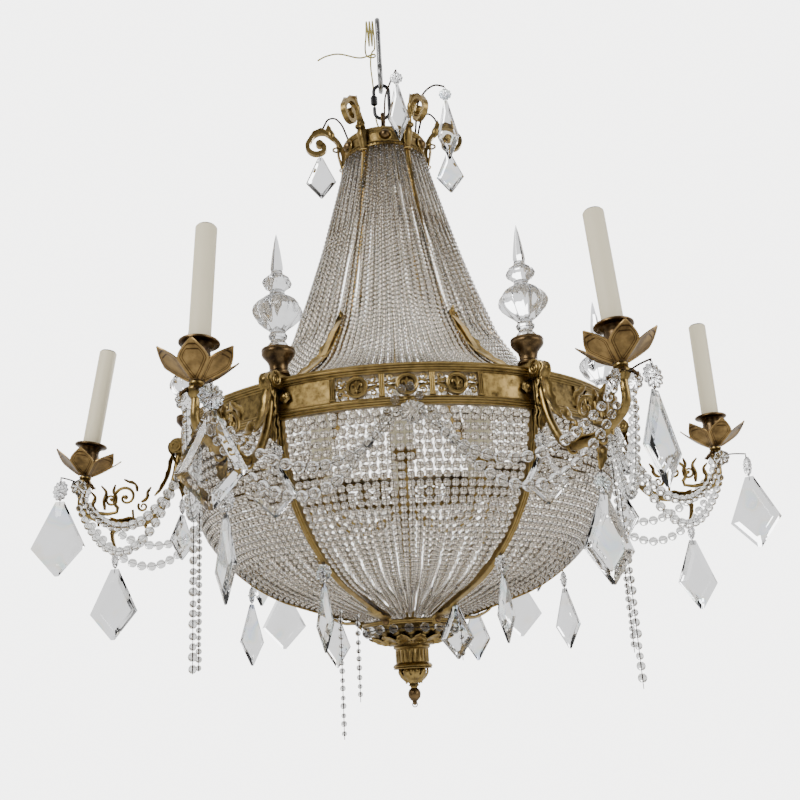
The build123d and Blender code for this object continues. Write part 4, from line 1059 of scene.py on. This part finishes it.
def petal_model():
    """One folded petal, its distance from the edge kept as a UV for the drawn lines."""
    deselect()
    bpy.ops.mesh.primitive_grid_add(x_subdivisions=12, y_subdivisions=16, size=2, location=(0, 0, 0))
    model = bpy.context.object
    edges = {}
    for vert in model.data.vertices:
        u, share = vert.co.x, (vert.co.y + 1) / 2
        reach = 8 + 37.5 * share
        half = reach * tan(pi / 6) if reach < 28.6 else 16.5 * (1 - ((reach - 28.6) / 17.2) ** 1.7)
        half = max(half, 0.25)
        side = u * half
        lift = 1.6 * (1 - u * u) * (1 - share) - 0.9 * share * share * u * u
        edge = half - abs(side)
        if reach > 20:
            edge = min(edge, (45.5 - reach) * 0.6)
        edges[vert.index] = (max(0, edge) / 20, share)
        vert.co = Vector((reach, side, 17.3 + 30.5 * (0.72 * share + 0.28 * share * share) + lift)) * MM
    for loop in model.data.loops:
        model.data.uv_layers[0].data[loop.index].uv = edges[loop.vertex_index]
    wall = model.modifiers.new("wall", "SOLIDIFY")
    wall.thickness = 1.3 * MM
    bpy.ops.object.modifier_apply(modifier="wall")
    return model


def make_petals():
    first = petal_model()
    petals = []
    for post in range(BAYS):
        place = candle_place(post)
        place.translation *= MM
        for count in range(6):
            petal = bpy.data.objects.new("petal", first.data.copy())
            petal.data.transform(place @ turned(30 + 60 * count))
            bpy.context.scene.collection.objects.link(petal)
            petals.append(petal)
    bpy.data.objects.remove(first)
    deselect()
    for petal in petals:
        petal.select_set(True)
    bpy.context.view_layer.objects.active = petals[0]
    bpy.ops.object.join()
    piece = bpy.context.object
    piece.name = "petal_dish_leaves"
    piece.data.materials.append(finish("petal"))
    piece.data.shade_smooth()
    piece.data.set_sharp_from_angle(angle=radians(32))
    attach(piece, "frame")
    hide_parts("bobeches")


def make_candles():
    cup = lathe([
        (6.5, 17.6), (8.0, 19.5), (7.2, 21.5), (9.5, 23.6), (13.0, 28.0), (14.6, 33.0), (14.9, 38.0),
        (14.0, 44.0), (12.6, 49.0), (12.4, 53.0), (13.6, 56.0), (16.0, 58.6), (20.6, 59.6), (21.9, 60.6),
        (21.9, 62.2), (20.8, 63.3), (13.4, 63.4), (12.4, 62.2),
    ], 44)
    sleeve = lathe([
        (10.6, 59.6), (12.0, 59.6), (12.0, 200.6), (11.6, 201.4), (10.9, 201.4), (10.5, 200.6), (10.5, 62.0),
    ], 40)
    inner = lathe([
        (10.6, 0.1), (12.0, 0.1), (12.0, 99.4), (11.4, 100), (10.6, 100), (10.5, 99), (10.5, 2),
    ], 32)
    socket = lathe([
        (10.2, 175), (10.25, 203.0), (9.8, 203.4), (7.3, 203.4), (7.0, 203.0), (7.0, 180.5), (0.3, 180.4),
    ], 32)
    cups, sleeves, sockets = Pile(), Pile(), Pile()
    for post in range(BAYS):
        place = candle_place(post)
        cups.add(cup, place)
        sleeves.add(sleeve, place)
        sockets.add(socket, place)
    for angle in BAY_ANGLES:
        place = spot(angle, INNER_LAMP_RADIUS, INNER_LAMP_LEVEL)
        sleeves.add(inner, place)
        sockets.add(socket, place @ moved(0, 0, -101.4))
    make("dark_cups", cups, ["bronze"], nodes=("candle_cups",))
    make("card_sleeves", sleeves, ["card"], nodes=("candle_sleeves",))
    make("lamp_sockets", sockets, ["socket"], nodes=("lamp_holders",))


# ------------------------------------------------------------------ basket and bowl
def arc_points(a, b, c, steps):
    """Points on the circle through three (radius, height) points."""
    (ax, az), (bx, bz), (cx, cz) = a, b, c
    d = 2 * (ax * (bz - cz) + bx * (cz - az) + cx * (az - bz))
    asq, bsq, csq = ax * ax + az * az, bx * bx + bz * bz, cx * cx + cz * cz
    ux = (asq * (bz - cz) + bsq * (cz - az) + csq * (az - bz)) / d
    uz = (asq * (cx - bx) + bsq * (ax - cx) + csq * (bx - ax)) / d
    radius = hypot(ax - ux, az - uz)
    first, middle, last = (atan2(z - uz, x - ux) for x, z in (a, b, c))
    sign = 1 if (middle - first) % (2 * pi) < (last - first) % (2 * pi) else -1
    sweep = sign * ((sign * (last - first)) % (2 * pi))
    turns = [first + sweep * n / steps for n in range(steps + 1)]
    return [Vector((ux + radius * cos(turn), 0, uz + radius * sin(turn))) for turn in turns]


def basket_outline():
    """The basket's outline in the plane of a rib, from gallery to bowl."""
    shoulder, knee = (264, GALLERY_TOP - 143), (165, GALLERY_TOP - 225)
    path = arc_points((EDGE_BEAD_RADIUS, GALLERY_BOTTOM), (284, GALLERY_TOP - 98), shoulder, 14)
    path += arc_points(shoulder, (227, GALLERY_TOP - 185), knee, 12)[1:]
    path += arc_points(knee, (112, GALLERY_TOP - 243), (57, BOWL_TOP + 2.4), 12)[1:]
    return path


def drawn_in(path, layer):
    """An outline whose lower end is drawn in and up."""
    last = len(path) - 1
    points = []
    for n, point in enumerate(path):
        draw = slip(n / last, layer, BASKET_SLIPS, 0.1)
        points.append(point + Vector((-0.5 * draw, 0, 0.85 * draw)))
    return points


def make_basket(sizes):
    dress("gold", "lower_ribs", "inner_arms", "central_stem")
    shape = bead()
    outline = basket_outline()
    large, small = sizes.basket_bead / MM, sizes.bowl_bead / MM
    step = 60 / (sizes.basket_rows + 1)
    for bay, first in enumerate(POST_ANGLES):
        pile = Pile()
        paths = []
        for n in range(sizes.basket_rows):
            place = turned(first + (n + 1) * step)
            paths.append([place @ point for point in drawn_in(outline[1:], n % LAYERS)])
        string_beads(pile, paths, lambda share: large - (large - small) * share**1.3, shape, 1.05, 0.16, 0.8)
        nodes = ("basket_strands",) if bay == 0 else ()
        name = f"basket_beads_{POST_NAMES[bay]}"
        make(name, pile, ["smoky", "wire"], nodes=nodes, angle=80)


def make_rib_mouldings():
    """Rounded edges and a leafy clasp on each rib."""
    pile = Pile()
    outline = basket_outline()
    last = len(outline) - 1
    ridges = []
    for side in (-1, 0, 1):
        points = []
        for n, point in enumerate(outline):
            along = (outline[min(n + 1, last)] - outline[max(n - 1, 0)]).normalized()
            out = Vector((-along.z, 0, along.x))
            aside = Vector((0, side * (3.7 - 1.7 * n / last), 0))
            points.append(point + out * (3.4 if side else 3.0) + aside)
        ridges.append(tube(points[:-3], 1.15 if side else 1.6, 6))
    line = ((60, -2), (70, 6), (88, 7.5), (103, 14), (110, 20))
    head = leaf(upright(line, BOWL_TOP), 20, 4, 0.2, 1.4, (0, -1, 0))
    boss = lathe([(4.6, 0), (4.2, 2), (2.6, 3.6), (0.3, 4.2)], 18)
    ring = hoop(5.4, 1.0, 20, middle=(0, 0, 0.3))
    for angle in POST_ANGLES:
        for ridge in ridges:
            pile.add(ridge, turned(angle))
        pile.add(head, turned(angle) @ moved(0, 0, -4.5))
        place = spot(angle, 66.5, BOWL_TOP - 1.5) @ turned(100, "Y")
        pile.add(boss, place, 1)
        pile.add(ring, place)
    make("rib_mouldings", pile, ["gold", "bronze"])


def make_bowl():
    top = BOWL_TOP
    pile = Pile()
    for steps, profile in (
        (96, (
            (10, -0.2), (60, -0.2), (64.5, 0), (65.8, -1.4), (65.4, -3.4), (52.0, -4.4), (51.4, -14.6),
            (50.0, -15.6), (49.0, -17.0), (44.0, -21.5), (38.0, -24.2), (33.0, -25.4), (30.0, -26.4),
            (27.4, -27.4), (27.2, -29.2), (24.4, -30.6), (24.6, -32),
        )),
        (72, (
            (23.8, -30), (24.6, -31.4), (24.6, -33), (23.4, -34), (21.6, -35.2), (20.6, -40), (20.4, -46),
            (21.0, -50.5), (22.6, -53.5),
        )),
        (72, (
            (22.0, -52.5), (24.8, -54.2), (26.2, -56.2), (26.2, -57.4), (25.0, -58.4), (25.8, -59.4),
            (25.2, -60), (17, -60),
        )),
    ):
        pile.add(lathe([(radius, top + height) for radius, height in profile], steps))
    flute = lathe([(2.2, -8.5), (2.6, -7.5), (2.6, 7.5), (2.2, 8.5)], 8)
    for n in range(22):
        pile.add(flute, spot(n * 360 / 22, 19.6, top - 43.6))
    # A skirt of leaves stands out round the dish
    line = ((31, -27.6), (40, -25.2), (49, -21.4), (56.5, -19.8))
    skirt = leaf(upright(line, top), 21, 3, 0.25, 1.2, (0, 1, 0), 0.85)
    for n in range(14):
        pile.add(skirt, turned(n * 360 / 14))
    pile.add(hoop(62, 1.2, 96, middle=(0, 0, top - 4.2)))
    make("turned_bowl", pile, ["gold"], nodes=("bottom_bowl",))

    pile = Pile()
    large = bead(12, 8)
    for n in range(18):
        pile.add(large, spot(n * 20 + 8, BOWL_BEAD_RADIUS, BOWL_BEAD_LEVEL, n * 31) @ sized(12.4))
    pile.add(hoop(BOWL_BEAD_RADIUS, 0.6, 72, middle=(0, 0, BOWL_BEAD_LEVEL)), None, 1)
    make("bowl_bead_ring", pile, ["clear", "wire"], nodes=("bowl_beads",), angle=80)


def make_pendant():
    top = BOWL_TOP
    pile = Pile()
    cup = (
        (16.5, -60.2), (17.4, -62), (16.6, -66), (13.6, -71), (9.0, -75), (6.8, -77), (5.6, -79),
        (7.0, -80.4), (7.0, -81.4), (4.8, -82.6), (4.2, -84.6),
    )
    ball = (
        (3.6, -84), (6.6, -86.2), (8.3, -90), (8.5, -92.6), (7.6, -96.4), (5.2, -99.4), (3.2, -101),
        (3.0, -103), (2.0, -105.4), (0.3, -106.4),
    )
    pile.add(lathe([(radius, top + height) for radius, height in cup]))
    pile.add(lathe([(radius, top + height) for radius, height in ball], 32), None, 1)
    line = ((18.6, -60.6), (18.9, -65), (15.6, -70.5), (10.4, -75.4), (9.8, -78))
    fold = leaf(upright(line, top), 11, 3, 0.25, 1.2, (0, 1, 0), 0.88)
    for n in range(9):
        pile.add(fold, turned(n * 40))
    pile.add(hoop(3.2, 0.8, 16, "Y", middle=(0, 0, top - 105.2)), None, 1)
    make("pendant_castings", pile, ["gold", "bronze"], nodes=("bowl_pendant",))


# ------------------------------------------------------------------ swags and drops
SWAG_STRANDS = ((66, 8, 68), (83, 22, 90))
# Straight strings under the gallery: bay, aside, bead, depth below the gallery's top
GALLERY_STRINGS = ((5, 6, 11.0, 322), (5, 26, 7.4, 320), (1, -6, 11.0, 366), (1, -26, 7.4, 325))
# Straight strings under the basket: post, row of ten, share of the outline, depth
BASKET_STRINGS = ((5, 7, 0.82, 405), (5, 8, 0.88, 362), (1, 2, 0.89, 318))


def swag_path(side, start_level, end_offset, sag):
    """One swag, from beside the arm to under the middle of the gallery's bay."""
    middle = radians(30)
    start = Vector((ARM_REACH - 1, side * 11.3, start_level))
    reach = SWAG_HEAD_RADIUS * cos(middle) + end_offset * sin(middle)
    aside = SWAG_HEAD_RADIUS * sin(middle) - end_offset * cos(middle)
    end = Vector((reach, side * aside, GALLERY_BOTTOM - 5))
    points = []
    for share in (0, 0.12, 0.3, 0.5, 0.7, 0.88, 1):
        chord = start + (end - start) * share
        points.append(Vector((chord.x, chord.y, chord.z - 4 * sag * share * (1 - share))))
    return smooth_path(points, 8)


def straight_run(x, y, head, foot):
    count = 12
    return [Vector((x, y, head + (foot - head) * n / count)) for n in range(count + 1)]


def outline_at(share):
    """The basket's outline a share of the way down it."""
    path = basket_outline()
    total = sum((b - a).length for a, b in zip(path, path[1:]))
    walked = 0.0
    for a, b in zip(path, path[1:]):
        step = (b - a).length
        if walked + step >= share * total:
            return a.lerp(b, (share * total - walked) / step)
        walked += step
    return path[-1]


def make_swags(sizes):
    pile = Pile()
    shape = bead(8, 6)
    large = sizes.swag_bead / MM
    paths = []
    for angle in POST_ANGLES:
        for side in (-1, 1):
            for start, offset, sag in SWAG_STRANDS:
                path = swag_path(side, GALLERY_TOP - start, offset, sag)
                paths.append([turned(angle) @ point for point in path])
    string_beads(pile, paths, lambda share: large * (0.7 + 0.3 * sin(pi * share)), shape, 1.1, 0.22, 1.3)
    for bay, aside, size, depth in GALLERY_STRINGS:
        place = turned(BAY_ANGLES[bay]) @ Vector((SWAG_HEAD_RADIUS, aside, 0))
        run = straight_run(place.x, place.y, GALLERY_BOTTOM - 7, GALLERY_TOP - depth)
        string_beads(pile, [run], lambda share: size * (0.95 + 0.12 * cos(40 * share)), shape, 1.22, 0.5, 1.3)
    for post, row, share, depth in BASKET_STRINGS:
        head = turned(POST_ANGLES[post] + row * 60 / 11) @ outline_at(share)
        run = straight_run(head.x, head.y, head.z - 3, GALLERY_TOP - depth)
        string_beads(pile, [run], lambda share: 7.4 * (0.95 + 0.1 * cos(50 * share)), shape, 1.5, 0.5, 1.3)
    # Clear flowers where the swags are tied to the arms
    flower = rosette(11, 8, 8)
    for post in range(BAYS):
        for side, turn in ((-1, -35), (1, 30)):
            pile.add(flower, candle_place(post) @ moved(2, side * 14, -2) @ turned(side * 70 + turn))
    # A flower under the middle of each bay, and four beads tied over the front one
    centre = rosette(15, 10, 7)
    for angle in BAY_ANGLES:
        pile.add(centre, spot(angle, 311, GALLERY_BOTTOM - 12) @ moved(0, 4, 0))
    for aside, height in ((-7, 15), (3, 18), (-15, 3), (13, 7)):
        pile.add(shape, spot(BAY_ANGLES[0], 309, GALLERY_BOTTOM + height) @ moved(0, aside, 0) @ sized(11.0))
    make("bead_swags", pile, ["clear", "wire"], nodes=("swags",), angle=60)


# How each post's drops are turned about their wires, in degrees, in the posts' order
TIP_YAWS = (-32, 14, 48, -20, 28, 28)
HOOK_YAWS = (-35, 2, -62, 20, -25, 71)
RIB_YAWS = (-30, 25, 40, 10, -15, -40)
POST_YAWS = (15, -20, 30, 0, 10, -25)
# The drops that don't repeat: name, kite's width and length, flower's radius
LONE_DROPS = (
    ("crown_drop_front", 34, 96, 10), ("crown_drop_right", 34.5, 103, 10),
    ("crown_drop_under_right", 44, 68, 0), ("crown_drop_under_left", 48, 70, 0), ("low_rib_drop", 43, 66, 0),
)


def make_drop(name, facing, width, length, radius, yaw, petals, thickness):
    """One drop on its own wire, hung from its joint: a flower and a kite."""
    joint = next(joint for joint in frame["joints"] if joint["child"] == name)
    place = moved(*(c / MM for c in joint["pos_m"])) @ turned(facing)
    pile = Pile()
    top = -(2 * radius + 1.6)
    pile.add(hoop(1.5, 0.55, 14, "X"), place, 1)
    pile.add(tube([(0, 0, -1.2), (0, 0, top - 6)], 0.5, 6), place, 1)
    if radius:
        pile.add(rosette(radius, petals, 8.0), place @ moved(0, 0, -radius - 0.8))
        pin = bead(8, 5)
        for side in (-4.4, 4.4):
            pile.add(pin, place @ moved(side, 0, -radius - 0.8) @ sized(2.0), 1)
    pile.add(kite(width, length, thickness), place @ moved(0, 0, top) @ turned(yaw))
    make(f"{name}_crystal", pile, ["cut", "wire"], body=name, nodes=(name,), angle=0)


def make_drops(sizes):
    thick = sizes.kite_thickness / MM
    for post, label in enumerate(POST_NAMES):
        angle = POST_ANGLES[post]
        make_drop(f"tip_drop_{label}", angle + HANGER_TURNS[post], 74, 100, 14, TIP_YAWS[post], 12, thick)
        make_drop(f"hook_drop_{label}", angle, 74, 94, 12, HOOK_YAWS[post], 10, thick)
        make_drop(f"rib_drop_{label}", angle, 44, 80, 11, RIB_YAWS[post], 10, thick)
        make_drop(f"post_drop_{label}", angle, 56, 62, 11, POST_YAWS[post], 10, thick)
    for name, width, length, radius in LONE_DROPS:
        make_drop(name, -90, width, length, radius, 0, 10, thick)


# ------------------------------------------------------------------ operators and panel
class CHANDELIER_OT_stage(bpy.types.Operator):
    """Lays the pale floor, the white surroundings, the soft lights and the camera"""

    bl_idname = "chandelier.stage"
    bl_label = "Stage"

    def execute(self, context):
        make_world()
        make_floor()
        make_lights()
        make_camera()
        return {"FINISHED"}


class CHANDELIER_OT_hanging(bpy.types.Operator):
    """Dresses the hook, the link and the spindle, and lays the flex"""

    bl_idname = "chandelier.hanging"
    bl_label = "Hook, link and flex"

    def execute(self, context):
        make_gear()
        make_cords()
        return {"FINISHED"}


class CHANDELIER_OT_crown(bpy.types.Operator):
    """Models the crown's mouldings, bosses and scroll leaves"""

    bl_idname = "chandelier.crown"
    bl_label = "Crown"

    def execute(self, context):
        make_crown()
        return {"FINISHED"}


class CHANDELIER_OT_tent(bpy.types.Operator):
    """Strings the tent of beads and puts a leaf on each rod"""

    bl_idname = "chandelier.tent"
    bl_label = "Tent"

    def execute(self, context):
        make_tent(context.scene.chandelier_sizes)
        return {"FINISHED"}


class CHANDELIER_OT_gallery(bpy.types.Operator):
    """Models the gallery's frieze, its posts and its rows of beads"""

    bl_idname = "chandelier.gallery"
    bl_label = "Gallery"

    def execute(self, context):
        make_frieze()
        make_posts()
        make_gallery_beads()
        return {"FINISHED"}


class CHANDELIER_OT_finials(bpy.types.Operator):
    """Turns the dark vases and the cut glass finials in them"""

    bl_idname = "chandelier.finials"
    bl_label = "Finials"

    def execute(self, context):
        make_finials()
        return {"FINISHED"}


class CHANDELIER_OT_arms(bpy.types.Operator):
    """Models the six arms with their scrollwork, leaves and knops"""

    bl_idname = "chandelier.arms"
    bl_label = "Arms"

    def execute(self, context):
        make_arms()
        make_knops()
        return {"FINISHED"}


class CHANDELIER_OT_candles(bpy.types.Operator):
    """Models the petal dishes, cups, card sleeves and lamp sockets"""

    bl_idname = "chandelier.candles"
    bl_label = "Candles"

    def execute(self, context):
        make_petals()
        make_candles()
        return {"FINISHED"}


class CHANDELIER_OT_basket(bpy.types.Operator):
    """Strings the basket and moulds its ribs"""

    bl_idname = "chandelier.basket"
    bl_label = "Basket"

    def execute(self, context):
        make_basket(context.scene.chandelier_sizes)
        make_rib_mouldings()
        return {"FINISHED"}


class CHANDELIER_OT_bowl(bpy.types.Operator):
    """Turns the bowl, its ring of beads and the pendant under it"""

    bl_idname = "chandelier.bowl"
    bl_label = "Bowl"

    def execute(self, context):
        make_bowl()
        make_pendant()
        return {"FINISHED"}


class CHANDELIER_OT_swags(bpy.types.Operator):
    """Strings the swags and the straight strings of beads"""

    bl_idname = "chandelier.swags"
    bl_label = "Swags"

    def execute(self, context):
        make_swags(context.scene.chandelier_sizes)
        return {"FINISHED"}


class CHANDELIER_OT_drops(bpy.types.Operator):
    """Cuts the crystal drops and hangs each on its joint"""

    bl_idname = "chandelier.drops"
    bl_label = "Crystal drops"

    def execute(self, context):
        make_drops(context.scene.chandelier_sizes)
        return {"FINISHED"}


OPERATORS = (
    CHANDELIER_OT_stage, CHANDELIER_OT_hanging, CHANDELIER_OT_crown, CHANDELIER_OT_tent,
    CHANDELIER_OT_gallery, CHANDELIER_OT_finials, CHANDELIER_OT_arms, CHANDELIER_OT_candles,
    CHANDELIER_OT_basket, CHANDELIER_OT_bowl, CHANDELIER_OT_swags, CHANDELIER_OT_drops,
)


class CHANDELIER_PT_panel(bpy.types.Panel):
    """Sizes, colours and the steps that make the chandelier"""

    bl_idname = "CHANDELIER_PT_panel"
    bl_label = "Crystal chandelier"
    bl_space_type = "VIEW_3D"
    bl_region_type = "UI"
    bl_category = "Chandelier"

    def draw(self, context):
        for group in (context.scene.chandelier_sizes, context.scene.chandelier_colours):
            box = self.layout.box()
            for name in group.__annotations__:
                box.prop(group, name)
        for operator in OPERATORS:
            self.layout.operator(operator.bl_idname)


CLASSES = (ChandelierSizes, ChandelierColours, *OPERATORS, CHANDELIER_PT_panel)


def register():
    for made in CLASSES:
        bpy.utils.register_class(made)
    bpy.types.Scene.chandelier_sizes = PointerProperty(type=ChandelierSizes)
    bpy.types.Scene.chandelier_colours = PointerProperty(type=ChandelierColours)


def unregister():
    del bpy.types.Scene.chandelier_colours
    del bpy.types.Scene.chandelier_sizes
    for made in reversed(CLASSES):
        bpy.utils.unregister_class(made)


def main():
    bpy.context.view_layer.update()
    register()
    bpy.ops.chandelier.stage()
    bpy.ops.chandelier.hanging()
    bpy.ops.chandelier.crown()
    bpy.ops.chandelier.tent()
    bpy.ops.chandelier.gallery()
    bpy.ops.chandelier.finials()
    bpy.ops.chandelier.arms()
    bpy.ops.chandelier.candles()
    bpy.ops.chandelier.basket()
    bpy.ops.chandelier.bowl()
    bpy.ops.chandelier.swags()
    bpy.ops.chandelier.drops()
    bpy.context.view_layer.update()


if __name__ == "__main__":
    main()
